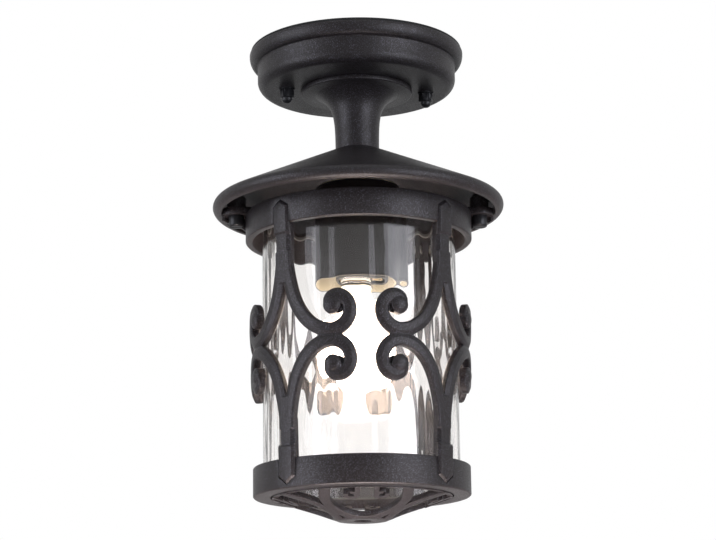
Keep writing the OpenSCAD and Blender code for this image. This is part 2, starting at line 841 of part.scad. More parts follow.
// An arm is drawn flat, as [distance round the cage, height from the scrolls' middle line], and
// wrapped round the cage. A bar leaves the upright as a quarter ellipse and rolls up round its
// eye as a spiral.
wrap_r = arm_r(mid_z);
sweep_steps = 11;
volute_steps = 13;
volute_turn = 279;
volute_end = 255;
volute_fall = 1.15;
bar_foot = bar_w / 2 - bar_cross;
volute_r = eye_rise - bar_foot;

bar_root = post_w / 4 - 0.1;

// Centre line: part one is the sweep, part two the volute
function sweep_point(t) =
    [eye_reach - (eye_reach - bar_root) * cos(t), sweep_h - (sweep_h - bar_foot) * sin(t)];
function volute_point(a) =
    let (r = volute_r * (1 - pow(a / volute_turn, volute_fall)))
    [eye_reach + r * sin(a), eye_rise - r * cos(a)];
function sweep_half_w(t) = post_w / 4 + (bar_w / 2 - post_w / 4) * sin(min(2 * t, 90));
function volute_half_w(a) = (bar_w + (bar_end_w - bar_w) * pow(a / volute_end, 1.5)) / 2;

bar_line = concat(
    [[bar_root, sweep_h + 8]],
    [for (i = [0:sweep_steps]) sweep_point(90 * i / sweep_steps)],
    [for (i = [1:volute_steps]) volute_point(volute_end * i / volute_steps)]
);
bar_half_w = concat(
    [post_w / 4],
    [for (i = [0:sweep_steps]) sweep_half_w(90 * i / sweep_steps)],
    [for (i = [1:volute_steps]) volute_half_w(volute_end * i / volute_steps)]
);

// Corners of a bar's bevelled section, as [across, in from the outer face]. A bar that covers
// the ends of others is a little thicker, by `proud` on each face
function bar_section(half_w, proud = 0) =
    let (b = bar_bevel, c = bar_bevel * 0.6, o = -proud, i = arm_t + proud)
    [[half_w - b, o], [half_w, o + b], [half_w, i - c], [half_w - c, i],
     [-half_w + c, i], [-half_w, i - c], [-half_w, o + b], [-half_w + b, o]];

// Wraps a flat point round the cage, `depth` in from the arms' outer face at the height `level`
function wrapped(p, depth, level) =
    let (r = arm_r(mid_z + level) - depth, a = p.x / wrap_r * 180 / PI)
    [r * cos(a), r * sin(a), mid_z + p.y];

// A bevelled bar along a flat line, on side +1 or -1 and above (+1) or below (-1) the middle line
module flat_bar(line, half_w, side, way, proud = 0) {
    n = len(line);
    corners = len(bar_section(1));
    points = [for (i = [0:n - 1])
        let (dir = unit(line[min(i + 1, n - 1)] - line[max(i - 1, 0)]), across = [-dir.y, dir.x])
        for (s = bar_section(half_w[i], proud))
            let (p = line[i] + s.x * across)
            wrapped([side * p.x, way * p.y], s.y, way * line[i].y)];
    skin = [for (i = [0:n - 2]) for (k = [0:corners - 1])
        let (j = (k + 1) % corners, a = i * corners + k, b = i * corners + j)
        each [[a, b, b + corners], [a, b + corners, a + corners]]];
    last = (n - 1) * corners;
    ends = concat([for (k = [1:corners - 2]) [0, k + 1, k]],
        [for (k = [1:corners - 2]) [last, last + k, last + k + 1]]);
    faces = concat(skin, ends);
    turned_over = side * way < 0;
    polyhedron(points, [for (f = faces) turned_over ? [f[2], f[1], f[0]] : f]);
}

// A short cylinder whose axis points outwards, between two depths from the outer face
module boss_at(p, r, from_depth, to_depth) {
    face = arm_r(mid_z + p.y);
    rotate([0, 0, p.x / wrap_r * 180 / PI])
        translate([face - to_depth, 0, mid_z + p.y])
            rotate([0, 90, 0]) cylinder(r = r, h = to_depth - from_depth, $fn = 20);
}

// The eye: a collar with a domed face, and a sunk floor between it and the bar
module scroll_eye(side, way) {
    eye = [side * eye_reach, way * eye_rise];
    floor_at = [side * (eye_reach + 2.6), way * (eye_rise + 2.2)];
    hull() {
        boss_at(eye, eye_r, bar_bevel * 0.5, arm_t - 0.12);
        boss_at(eye, eye_r - 1.2, -eye_dome * 0.5, arm_t - 0.12);
    }
    hull() {
        boss_at(eye, eye_r - 1.5, -eye_dome * 0.45, 1);
        boss_at(eye, eye_r * 0.45, -eye_dome, 1);
    }
    boss_at(floor_at, eye_r + 1.6, arm_t * 0.42, arm_t - 0.6);
}

// A pointed plate that lies in its ring's seat and stands a little proud of the ring
module arm_plate(ring_r) {
    stand_up(ring_r - seat_d + 0.05, ring_r + plate_proud) children();
}

module arm() {
    difference() {
        union() {
            // the upright and the crotch of the bars, above and below the scrolls
            flat_bar([[0, sweep_h + 1], [0, ring_low_z - mid_z]], [post_w / 2, post_w / 2], 1, 1, 0.35);
            flat_bar([[0, sweep_h + 1], [0, mid_z - lower_top_z]], [post_w / 2, post_w / 2], 1, -1, 0.35);
            for (way = [-1, 1])
                flat_bar([[0, sweep_h - 17], [0, sweep_h + 5]], [post_w * 0.2, post_w * 0.26], 1, way, 0.1);
            for (side = [-1, 1]) for (way = [-1, 1]) {
                flat_bar(bar_line, bar_half_w, side, way);
                scroll_eye(side, way);
            }
            arm_plate(upper_r) head_outline();
            arm_plate(lower_r) foot_outline();
        }
        translate([upper_r - seat_d - cut, 0, upper_screw_z])
            rotate([0, 90, 0]) cylinder(r = arm_screw_r + fit, h = seat_d + cut + 0.4, $fn = 24);
        translate([lower_r - seat_d - cut, 0, lower_screw_z])
            rotate([0, 90, 0]) cylinder(r = arm_screw_r + fit, h = seat_d + cut + 0.4, $fn = 24);
    }
}

module arm_at(turn) {
    color([0.14, 0.14, 0.15]) rotate([0, 0, turn]) arm();
}

module arm_back_right() { arm_at(45); }
module arm_back_left() { arm_at(135); }
module arm_front_left() { arm_at(225); }
module arm_front_right() { arm_at(315); }

// ---------------------------------------------------------------- base grille

grille_rim_r = lower_in_r - 0.4;
grille_neck_r = low_open_r - 1;
grille_slope = (grille_drop - grille_t * 0.6) / (grille_neck_r - disc_r);

// Outline of an arch that opens outwards, with straight legs that run out to the rim
module arch_outline(r) {
    arch_y = -disc_r + rib_w - 1.5 - arch_r;
    translate([0, arch_y]) circle(r);
    translate([-r, -grille_neck_r]) square([2 * r, grille_neck_r + arch_y]);
}

// Plan of one side: the arch and two small scrolls that hang from the rim inside it
module grille_side() {
    difference() {
        arch_outline(arch_r);
        arch_outline(arch_r - rib_w);
    }
    for (side = [-1, 1]) {
        translate([side * 10.5, -51.5])
            difference() {
                circle(5.6);
                translate([side * 0.4, 0]) circle(2.2);
                translate([side * 3.6, -3.2]) square([5, 3.2], center = true);
            }
        translate([side * 6.7 - 1.8, -grille_neck_r]) square([3.6, grille_neck_r - 51.5]);
    }
}

module base_grille() {
    top = lower_z + low_flange_t + 3;
    low = lower_z - grille_drop;
    color([0.13, 0.13, 0.14])
        difference() {
            union() {
                ring(grille_neck_r - 4, grille_rim_r, lower_z + low_flange_t, top);
                ring(grille_neck_r - 4, grille_neck_r, lower_z - 0.6, top - 0.5);
                intersection() {
                    turned([
                        [0, low], [disc_r - 1, low], [disc_r, low + 0.5],
                        [grille_neck_r, lower_z - 0.8], [grille_neck_r, lower_z + grille_t - 0.8],
                        [disc_r, low + 0.5 + grille_t], [disc_r - 1, low + grille_t], [0, low + grille_t]
                    ]);
                    translate([0, 0, low - cut])
                        linear_extrude(grille_drop + grille_t + 4)
                            union() {
                                circle(disc_r);
                                for (turn = [0:90:270]) rotate(turn) grille_side();
                            }
                }
            }
            translate([0, 0, low - cut]) cylinder(r = disc_hole_r, h = grille_t + 2 * cut);
        }
}

// ---------------------------------------------------------------- glass

module glass_cylinder() {
    flute_r = 3.2;
    flute_at = glass_in_r + flute_d - flute_r;
    color("white", 0.35)
        translate([0, 0, glass_low_z])
            linear_extrude(glass_top_z - glass_low_z)
                difference() {
                    circle(glass_r);
                    circle(glass_in_r);
                    for (k = [0:flutes - 1])
                        rotate(360 * (k + 0.5) / flutes) translate([flute_at, 0]) circle(flute_r);
                }
}

module glass_gasket_top() {
    color("gray") ring(gasket_in_r, gasket_out_r, glass_top_z, ring_z - top_flange_t);
}

module glass_gasket_bottom() {
    color("gray") ring(gasket_in_r, gasket_out_r, glass_low_z - glass_gasket_t, glass_low_z);
}

// ---------------------------------------------------------------- bulb

module bulb_glass() {
    centre = bulb_low_z + bulb_r;
    neck_z = tip_z - cap_h;
    neck_r = cap_r - 1;
    // the shoulder is a smooth half wave between the ball and the neck
    from_z = centre + bulb_r * sin(25);
    from_r = bulb_r * cos(25);
    outline = concat(
        [for (t = [-90:15:25]) [bulb_r * cos(t), centre + bulb_r * sin(t)]],
        [for (i = [0:8]) [neck_r + (from_r - neck_r) * (1 + cos(180 * i / 8)) / 2,
                          from_z + (neck_z - 2 - from_z) * i / 8]],
        [[neck_r, neck_z + 6]]
    );
    color([1, 0.97, 0.9])
        difference() {
            turned(concat(outline, [[0, neck_z + 6]]));
            turned(concat(
                [[0, bulb_low_z + 1]],
                [for (p = outline) if (p.x > 4) [p.x - 1, max(p.y, bulb_low_z + 1)]],
                [[neck_r - 1, neck_z + 8], [0, neck_z + 8]]
            ));
        }
}

module bulb_cap() {
    low = tip_z - cap_h;
    color("silver")
        difference() {
            turned([[0, tip_z - 5], [cap_r - 4, tip_z - 5], [cap_r, tip_z - 8], [cap_r, low + 1],
                    [cap_r + 0.2, low], [0, low]]);
            translate([0, 0, low - cut])
                cylinder(r = cap_r - 1 + 0.05, h = 6 + cut);
            translate([0, 0, low]) cylinder(r = cap_r - 1.6, h = 14);
            translate([0, 0, tip_z - 9]) cylinder(r = 5.2, h = 5);
        }
}

module bulb_insulator() {
    color([0.08, 0.07, 0.09])
        turned([[0, tip_z - 8], [5, tip_z - 8], [5, tip_z - 5], [7.5, tip_z - 5], [5, tip_z - 2], [0, tip_z - 2]]);
}

module bulb_contact() {
    color("silver")
        turned([[0, tip_z - 2], [4.2, tip_z - 2], [3.6, tip_z - 0.7], [2, tip_z - 0.1], [0, tip_z]]);
}

ceiling_gasket();
ceiling_pan();
mounting_strap();
strap_studs();
lock_nuts();
nut_washers();
dome_nuts();
terminal_block();
terminal_screws();
earth_screw();
live_lead();
neutral_lead();
earth_lead();
stem();
nipple_tube();
nipple_nuts();
hood();
holder_can();
lampholder_body();
lampholder_insulator();
screw_shell();
centre_contact();
cage_screw_left();
cage_screw_right();
upper_ring();
arm_front_left();
arm_front_right();
arm_back_right();
arm_back_left();
upper_arm_screws();
lower_arm_screws();
lower_ring();
base_grille();
glass_cylinder();
glass_gasket_top();
glass_gasket_bottom();
bulb_glass();
bulb_cap();
bulb_insulator();
bulb_contact();
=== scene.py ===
"""Porch ceiling lantern, dressed for a studio picture.

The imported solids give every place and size. The castings, the glass and the lamp are modelled
again here with smooth surfaces, the small hardware is smoothed from the solids, and every finish
is procedural. Sizes in the classes are millimetres; Blender works in metres.
"""

import logging
import math
from dataclasses import dataclass, field
from enum import Enum
from typing import Any, Callable, Optional, Sequence, Tuple, Union

import bmesh
import bpy
from mathutils import Matrix, Vector


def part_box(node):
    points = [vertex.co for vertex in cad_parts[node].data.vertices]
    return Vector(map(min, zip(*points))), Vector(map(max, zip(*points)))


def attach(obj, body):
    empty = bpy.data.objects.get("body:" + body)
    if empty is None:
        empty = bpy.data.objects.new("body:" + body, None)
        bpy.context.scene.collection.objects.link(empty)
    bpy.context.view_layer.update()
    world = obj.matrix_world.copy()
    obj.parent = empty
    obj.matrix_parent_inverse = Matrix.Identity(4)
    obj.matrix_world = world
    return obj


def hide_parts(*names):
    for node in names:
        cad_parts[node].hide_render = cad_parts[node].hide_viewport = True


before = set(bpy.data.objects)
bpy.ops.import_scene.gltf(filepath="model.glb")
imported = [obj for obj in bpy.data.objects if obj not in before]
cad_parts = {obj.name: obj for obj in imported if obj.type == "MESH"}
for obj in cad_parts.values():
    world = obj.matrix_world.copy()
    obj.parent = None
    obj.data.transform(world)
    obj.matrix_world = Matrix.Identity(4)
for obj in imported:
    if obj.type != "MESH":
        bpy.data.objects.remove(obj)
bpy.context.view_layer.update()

MM = 0.001
MERGE = 0.000002
NIPPLE_HOLE = 5.1
COOL_WHITE = (0.89, 0.9, 1.0)
WARM_WHITE = (1.0, 0.85, 0.79)
Point = Tuple[float, float]
Colour = Tuple[float, float, float, float]
Piece = bpy.types.Object

log = logging.getLogger("lantern")


class Body(str, Enum):
    """The bodies that the joints move."""

    FIXTURE = "fixture"
    CAGE = "cage"
    BULB = "bulb"
    SCREW_LEFT = "cage_screw_left"
    SCREW_RIGHT = "cage_screw_right"


# ------------------------------------------------------------------ shader bench


class Sock:
    """One output of a shader node, with arithmetic that adds Math nodes."""

    def __init__(self, bench: "ShaderBench", socket: bpy.types.NodeSocket) -> None:
        """Wraps a socket.

        Args:
            bench: the bench that the socket belongs to.
            socket: the output socket.
        """
        self.bench = bench
        self.socket = socket

    def _maths(self, operation: str, *values: Any) -> "Sock":
        """Adds a Math node.

        Args:
            operation: the node's operation.
            values: numbers or sockets.

        Returns:
            The node's output.
        """
        inputs = {i: v for i, v in enumerate(values)}
        return self.bench.add("ShaderNodeMath", {"operation": operation}, inputs)

    def __add__(self, other: Any) -> "Sock":
        """Sum of this and another value."""
        return self._maths("ADD", self, other)

    __radd__ = __add__

    def __sub__(self, other: Any) -> "Sock":
        """This less another value."""
        return self._maths("SUBTRACT", self, other)

    def __mul__(self, other: Any) -> "Sock":
        """Product of this and another value."""
        return self._maths("MULTIPLY", self, other)

    def power(self, exponent: float) -> "Sock":
        """This value raised to a power."""
        return self._maths("POWER", self, exponent)

    def most(self, other: Any) -> "Sock":
        """The larger of this and another value."""
        return self._maths("MAXIMUM", self, other)

    def above(self, level: float) -> "Sock":
        """1 where this value is above a level, and 0 elsewhere."""
        return self._maths("GREATER_THAN", self, level)

    def clamped(self) -> "Sock":
        """This value held between 0 and 1."""
        return self._maths("MINIMUM", self.most(0.0), 1.0)


class ShaderBench:
    """Builds the nodes of one material or world."""

    def __init__(self, owner: Union[bpy.types.Material, bpy.types.World]) -> None:
        """Starts with an empty node tree.

        Args:
            owner: the material or world.
        """
        self.owner = owner
        owner.use_nodes = True
        self.tree = owner.node_tree
        self.tree.nodes.clear()

    def add(
        self,
        kind: str,
        settings: Optional[dict[str, Any]] = None,
        inputs: Optional[dict[Union[str, int], Any]] = None,
        output: Union[str, int] = 0,
    ) -> Sock:
        """Adds a node of any type.

        Args:
            kind: the node's type name.
            settings: its properties, set first; a ramp's stops are under "stops".
            inputs: values or sockets for its inputs.
            output: which output to hand back.

        Returns:
            The wrapped output.
        """
        node = self.tree.nodes.new(kind)
        for key, value in (settings or {}).items():
            if key == "stops":
                ramp = node.color_ramp
                while len(ramp.elements) < len(value):
                    ramp.elements.new(0.5)
                for stop, (at, colour) in zip(ramp.elements, value):
                    stop.position = at
                    stop.color = colour
            else:
                setattr(node, key, value)
        for key, value in (inputs or {}).items():
            if isinstance(value, Sock):
                self.tree.links.new(value.socket, node.inputs[key])
            else:
                node.inputs[key].default_value = value
        return Sock(self, node.outputs[output])

    def place(self, scale: Tuple[float, float, float] = (1.0, 1.0, 1.0)) -> Sock:
        """Object coordinates, scaled.

        Args:
            scale: scale along each axis.

        Returns:
            The coordinates.
        """
        at = self.add("ShaderNodeTexCoord", output="Object")
        settings = {"vector_type": "POINT"}
        return self.add("ShaderNodeMapping", settings, {"Vector": at, "Scale": scale})

    def noise(self, at: Sock, scale: float, detail: float = 2.0, rough: float = 0.5) -> Sock:
        """Noise at a scale per metre.

        Args:
            at: coordinates.
            scale: cells in a metre.
            detail: octaves.
            rough: share of the small octaves.

        Returns:
            A value between 0 and 1.
        """
        return self.add(
            "ShaderNodeTexNoise",
            {"noise_dimensions": "3D"},
            {"Vector": at, "Scale": scale, "Detail": detail, "Roughness": rough},
        )

    def mix(self, factor: Any, a: Any, b: Any) -> Sock:
        """Blend of two colours.

        Args:
            factor: 0 for the first and 1 for the second.
            a: the first colour.
            b: the second colour.

        Returns:
            The mixed colour.
        """
        return self.add(
            "ShaderNodeMix", {"data_type": "RGBA"}, {0: factor, 6: a, 7: b}, output=2
        )

    def ramp(self, value: Sock, stops: Sequence[Tuple[float, Colour]]) -> Sock:
        """Colour ramp over a value.

        Args:
            value: what the ramp reads.
            stops: positions and colours.

        Returns:
            The ramp's colour.
        """
        return self.add("ShaderNodeValToRGB", {"stops": stops}, {"Fac": value})

    def bump(self, height: Sock, strength: float, distance: float) -> Sock:
        """Normal from a height.

        Args:
            height: the height field.
            strength: share of the effect.
            distance: depth in metres.

        Returns:
            The bent normal.
        """
        return self.add(
            "ShaderNodeBump", None, {"Height": height, "Strength": strength, "Distance": distance}
        )

    def axis(self, at: Sock, letter: str) -> Sock:
        """One coordinate of a place."""
        return self.add("ShaderNodeSeparateXYZ", None, {"Vector": at}, output=letter)

    def principled(self, inputs: dict[Union[str, int], Any]) -> Sock:
        """The general surface shader with these inputs."""
        return self.add("ShaderNodeBsdfPrincipled", None, inputs)

    def surface(self, shader: Sock, kind: str = "Material") -> Any:
        """Ends the tree with a shader.

        Args:
            shader: the surface shader.
            kind: "Material" or "World".

        Returns:
            The material or world.
        """
        out = self.tree.nodes.new("ShaderNodeOutput" + kind)
        self.tree.links.new(shader.socket, out.inputs["Surface"])
        return self.owner


def rgba(red: float, green: float, blue: float) -> Colour:
    """A solid colour."""
    return (red, green, blue, 1.0)


def scaled(colour: Colour, red: float, green: float, blue: float) -> Colour:
    """A colour with each part times a factor."""
    return rgba(colour[0] * red, colour[1] * green, colour[2] * blue)


# ------------------------------------------------------------------ finishes


@dataclass(frozen=True)
class PowderCoat:
    """Near-black textured powder coat with a fine sparkle, over cast aluminium."""

    name: str = "powder_coat"
    base: Colour = rgba(0.0155, 0.0127, 0.0125)
    fleck: Colour = rgba(0.13, 0.124, 0.15)
    roughness: float = 0.4
    specular: float = 0.4
    grain_per_m: float = 1500.0
    grain_depth: float = 0.0002
    cloud_per_m: float = 38.0
    fleck_level: float = 0.55

    def material(self) -> bpy.types.Material:
        """Builds the coat.

        Returns:
            The material.
        """
        s = ShaderBench(bpy.data.materials.new(self.name))
        at = s.place()
        grain = s.noise(at, self.grain_per_m, 2.0, 0.6)
        cloud = s.noise(at, self.cloud_per_m)
        fleck = s.noise(at, self.grain_per_m * 1.1, 1.0, 0.5)
        sparkle = ((fleck - self.fleck_level) * 6.0).clamped()
        colour = s.mix(cloud, self.base, scaled(self.base, 1.5, 1.5, 1.55))
        colour = s.mix(sparkle, colour, self.fleck)
        shader = s.principled(
            {
                "Base Color": colour,
                "Roughness": self.roughness + (cloud - 0.5) * 0.16 - sparkle * 0.14,
                "Metallic": sparkle * 0.4,
                "Specular IOR Level": self.specular,
                "Normal": s.bump(grain, 0.55, self.grain_depth),
            }
        )
        return s.surface(shader)


@dataclass(frozen=True)
class PlainMetal:
    """Plated or blackened metal with light handling marks."""

    name: str
    base: Colour
    roughness: float = 0.3
    metallic: float = 1.0
    streak_per_m: float = 500.0

    def material(self) -> bpy.types.Material:
        """Builds the metal.

        Returns:
            The material.
        """
        s = ShaderBench(bpy.data.materials.new(self.name))
        at = s.place()
        grain = s.noise(at, self.streak_per_m, 3.0, 0.6)
        cloud = s.noise(at, 70.0)
        dark = scaled(self.base, 0.72, 0.72, 0.72)
        shader = s.principled(
            {
                "Base Color": s.mix(cloud, self.base, dark),
                "Metallic": self.metallic,
                "Roughness": self.roughness + (grain - 0.5) * 0.2,
                "Normal": s.bump(grain, 0.2, 0.00005),
            }
        )
        return s.surface(shader)


@dataclass(frozen=True)
class LinedCan:
    """Black pressed can with a pale enamelled inside that the lamp lights up."""

    name: str = "can_black"
    outside: Colour = rgba(0.009, 0.007, 0.007)
    inside: Colour = rgba(0.62, 0.57, 0.44)
    wall: float = 0.9

    def material(self) -> bpy.types.Material:
        """Builds the two-sided enamel.

        Returns:
            The material.
        """
        s = ShaderBench(bpy.data.materials.new(self.name))
        at = s.place()
        across, along = s.axis(at, "X"), s.axis(at, "Y")
        radius = (across * across + along * along).power(0.5)
        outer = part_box("holder_can")[1].x
        is_outside = radius.above(outer - (0.6 + self.wall) * MM)
        grain = s.noise(at, 600.0)
        shader = s.principled(
            {
                "Base Color": s.mix(is_outside, self.inside, self.outside),
                "Specular IOR Level": 0.25,
                "Roughness": 0.36 + (grain - 0.5) * 0.1,
                "Normal": s.bump(grain, 0.1, 0.00002),
            }
        )
        return s.surface(shader)


@dataclass(frozen=True)
class MouldedPlastic:
    """Moulded or extruded plastic and rubber."""

    name: str
    base: Colour
    roughness: float = 0.45
    grain_per_m: float = 900.0

    def material(self) -> bpy.types.Material:
        """Builds the plastic.

        Returns:
            The material.
        """
        s = ShaderBench(bpy.data.materials.new(self.name))
        at = s.place()
        grain = s.noise(at, self.grain_per_m)
        cloud = s.noise(at, 60.0)
        dark = scaled(self.base, 0.82, 0.82, 0.82)
        shader = s.principled(
            {
                "Base Color": s.mix(cloud, self.base, dark),
                "Roughness": self.roughness + (cloud - 0.5) * 0.12,
                "Normal": s.bump(grain, 0.25, 0.00006),
            }
        )
        return s.surface(shader)


@dataclass(frozen=True)
class FlutedGlass:
    """Clear soda glass, a little wavy. Lamps shine through it without a shadow."""

    name: str = "clear_glass"
    tint: Colour = rgba(0.986, 0.974, 0.964)
    ior: float = 1.46
    ripple_per_m: float = 42.0
    ripple_depth: float = 0.0009
    haze: float = 0.003

    def material(self) -> bpy.types.Material:
        """Builds the glass.

        Returns:
            The material.
        """
        s = ShaderBench(bpy.data.materials.new(self.name))
        ripple = s.noise(s.place((1.0, 1.0, 0.45)), self.ripple_per_m, 2.0, 0.45)
        glass = s.principled(
            {
                "Base Color": self.tint,
                "Roughness": 0.0,
                "IOR": self.ior,
                "Transmission Weight": 1.0,
                "Normal": s.bump(ripple, 0.5, self.ripple_depth),
            }
        )
        haze = s.add("ShaderNodeBsdfDiffuse", None, {"Color": rgba(1.0, 0.95, 0.92)})
        glass = s.add("ShaderNodeMixShader", None, {0: self.haze, 1: glass, 2: haze})
        clear = s.add("ShaderNodeBsdfTransparent", None, {"Color": self.tint})
        shadow = s.add("ShaderNodeLightPath", output="Is Shadow Ray")
        return s.surface(s.add("ShaderNodeMixShader", None, {0: shadow, 1: glass, 2: clear}))


@dataclass(frozen=True)
class LitEnvelope:
    """The lamp's white envelope, lit: hottest low down, cooler at its neck."""

    name: str = "lamp_glass"
    glow: Colour = rgba(1.0, 0.8, 0.65)
    strength: float = 11.0

    def material(self) -> bpy.types.Material:
        """Builds the envelope.

        Returns:
            The material.
        """
        s = ShaderBench(bpy.data.materials.new(self.name))
        low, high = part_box("bulb_glass")
        up = ((s.axis(s.place(), "Z") - low.z) * (1.0 / (high.z - low.z))).clamped()
        colour = s.ramp(
            up,
            [
                (0.0, self.glow),
                (0.55, self.glow),
                (0.82, rgba(0.3, 0.25, 0.19)),
                (0.95, rgba(0.07, 0.062, 0.048)),
            ],
        )
        shader = s.principled(
            {
                "Base Color": rgba(0.92, 0.92, 0.9),
                "Roughness": 0.25,
                "Emission Color": colour,
                "Emission Strength": self.strength,
            }
        )
        return s.surface(shader)


@dataclass(frozen=True)
class StudioWhite:
    """Pale matt floor of the studio, which the camera and the glass see as a white one."""

    name: str = "studio_white"
    base: Colour = rgba(0.86, 0.86, 0.86)
    shown: float = 0.92

    def material(self) -> bpy.types.Material:
        """Builds the floor's paint.

        Returns:
            The material.
        """
        s = ShaderBench(bpy.data.materials.new(self.name))
        cloud = s.noise(s.place(), 2.0)
        shader = s.principled(
            {
                "Base Color": s.mix(cloud, self.base, rgba(0.82, 0.82, 0.82)),
                "Roughness": 0.9,
                "Specular IOR Level": 0.0,
            }
        )
        white = s.add("ShaderNodeEmission", None, {"Color": rgba(1.0, 1.0, 1.0), "Strength": 1.0})
        camera = s.add("ShaderNodeLightPath", output="Is Camera Ray")
        through = s.add("ShaderNodeLightPath", output="Is Transmission Ray")
        mirrored_in = s.add("ShaderNodeLightPath", output="Is Glossy Ray")
        seen = (camera + through).clamped() * self.shown + mirrored_in * 0.12
        return s.surface(s.add("ShaderNodeMixShader", None, {0: seen, 1: shader, 2: white}))


class Finish(Enum):
    """The finishes of the lantern, each named after its slot in the record."""

    CASTING = PowderCoat()
    BLACK_STEEL = LinedCan()
    BLACK_FASTENER = PlainMetal("black_fastener", rgba(0.035, 0.036, 0.04), 0.32, 0.35)
    ZINC_STEEL = PlainMetal("zinc_steel", rgba(0.62, 0.62, 0.6), 0.34)
    BRASS = PlainMetal("brass", rgba(0.75, 0.55, 0.26), 0.28)
    CAP_METAL = PlainMetal("cap_metal", rgba(0.78, 0.77, 0.75), 0.22)
    WHITE_PLASTIC = MouldedPlastic("white_plastic", rgba(0.78, 0.75, 0.68), 0.4)
    BLACK_PLASTIC = MouldedPlastic("black_plastic", rgba(0.02, 0.02, 0.02), 0.4)
    BLACK_VITRITE = MouldedPlastic("black_vitrite", rgba(0.02, 0.016, 0.025), 0.12)
    BROWN_WIRE = MouldedPlastic("brown_wire", rgba(0.2, 0.08, 0.03), 0.3)
    BLUE_WIRE = MouldedPlastic("blue_wire", rgba(0.05, 0.16, 0.5), 0.3)
    GREEN_WIRE = MouldedPlastic("green_wire", rgba(0.2, 0.5, 0.08), 0.3)
    FOAM = MouldedPlastic("foam", rgba(0.03, 0.03, 0.03), 0.9, 1600.0)
    CLEAR_GASKET = MouldedPlastic("clear_gasket", rgba(0.15, 0.15, 0.145), 0.5)
    CLEAR_GLASS = FlutedGlass()
    LAMP_GLASS = LitEnvelope()


class Paintbox:
    """Makes each finish's material once."""

    def __init__(self) -> None:
        """Starts with no material made."""
        self._made: dict[Finish, bpy.types.Material] = {}

    def paint(self, piece: Piece, finish: Finish) -> None:
        """Gives a piece one finish.

        Args:
            piece: the object to paint.
            finish: its finish.
        """
        if finish not in self._made:
            self._made[finish] = finish.value.material()
        piece.data.materials.clear()
        piece.data.materials.append(self._made[finish])


PAINT = Paintbox()


# ------------------------------------------------------------------ modelling bench


def put_down() -> None:
    """Leaves edit mode and deselects everything."""
    if bpy.context.object and bpy.context.object.mode != "OBJECT":
        bpy.ops.object.mode_set(mode="OBJECT")
    bpy.ops.object.select_all(action="DESELECT")


def take_up(*pieces: Piece) -> None:
    """Selects pieces, the first of them active.

    Args:
        pieces: the objects to select.
    """
    put_down()
    for piece in pieces:
        piece.select_set(True)
    bpy.context.view_layer.objects.active = pieces[0]


def edit_all() -> None:
    """Enters edit mode with everything selected."""
    bpy.ops.object.mode_set(mode="EDIT")
    bpy.ops.mesh.select_all(action="SELECT")


def copied(piece: Piece, matrix: Matrix) -> Piece:
    """A copy with its own mesh, carried by a matrix.

    Args:
        piece: the pattern.
        matrix: what moves, turns or mirrors the copy's mesh.

    Returns:
        The copy.
    """
    copy = piece.copy()
    copy.data = piece.data.copy()
    bpy.context.scene.collection.objects.link(copy)
    copy.data.transform(matrix)
    return copy


def apply_modifier(piece: Piece, kind: str, **settings: Any) -> None:
    """Gives the active piece a modifier and applies it.

    Args:
        piece: the object.
        kind: the modifier's type.
        settings: its properties.
    """
    modifier = piece.modifiers.new("work", kind)
    for key, value in settings.items():
        setattr(modifier, key, value)
    bpy.ops.object.modifier_apply(modifier=modifier.name)


def pick(piece: Piece, test: Callable[[Vector], bool]) -> int:
    """Selects the vertices that pass a test, in edit mode.

    Args:
        piece: the object in edit mode.
        test: says of a place whether it is wanted.

    Returns:
        How many are selected.
    """
    mesh = bmesh.from_edit_mesh(piece.data)
    bpy.ops.mesh.select_all(action="DESELECT")
    found = [v for v in mesh.verts if test(v.co)]
    for vertex in found:
        vertex.select_set(True)
    mesh.select_flush(True)
    bmesh.update_edit_mesh(piece.data)
    return len(found)


def pick_edges(piece: Piece, test: Callable[[Vector, Vector], bool]) -> None:
    """Selects the edges that pass a test, in edit mode.

    Args:
        piece: the object in edit mode.
        test: says of an edge's two ends whether it is wanted.
    """
    mesh = bmesh.from_edit_mesh(piece.data)
    bpy.ops.mesh.select_all(action="DESELECT")
    bpy.ops.mesh.select_mode(type="EDGE")
    for edge in mesh.edges:
        if test(edge.verts[0].co, edge.verts[1].co):
            edge.select_set(True)
    bmesh.update_edit_mesh(piece.data)


def settle(piece: Piece, name: str, smooth: float = 35.0) -> Piece:
    """Ends a piece: its place goes into its mesh, its faces point outwards and it shades smooth.

    Args:
        piece: the object.
        name: its name.
        smooth: edges below this angle, in degrees, shade smooth.

    Returns:
        The object.
    """
    take_up(piece)
    bpy.ops.object.transform_apply(location=True, rotation=True, scale=True)
    edit_all()
    bpy.ops.mesh.remove_doubles(threshold=MERGE)
    bpy.ops.mesh.normals_make_consistent(inside=False)
    bpy.ops.object.mode_set(mode="OBJECT")
    bpy.ops.object.shade_smooth_by_angle(angle=math.radians(smooth))
    piece.name = name
    piece.data.name = name
    return piece


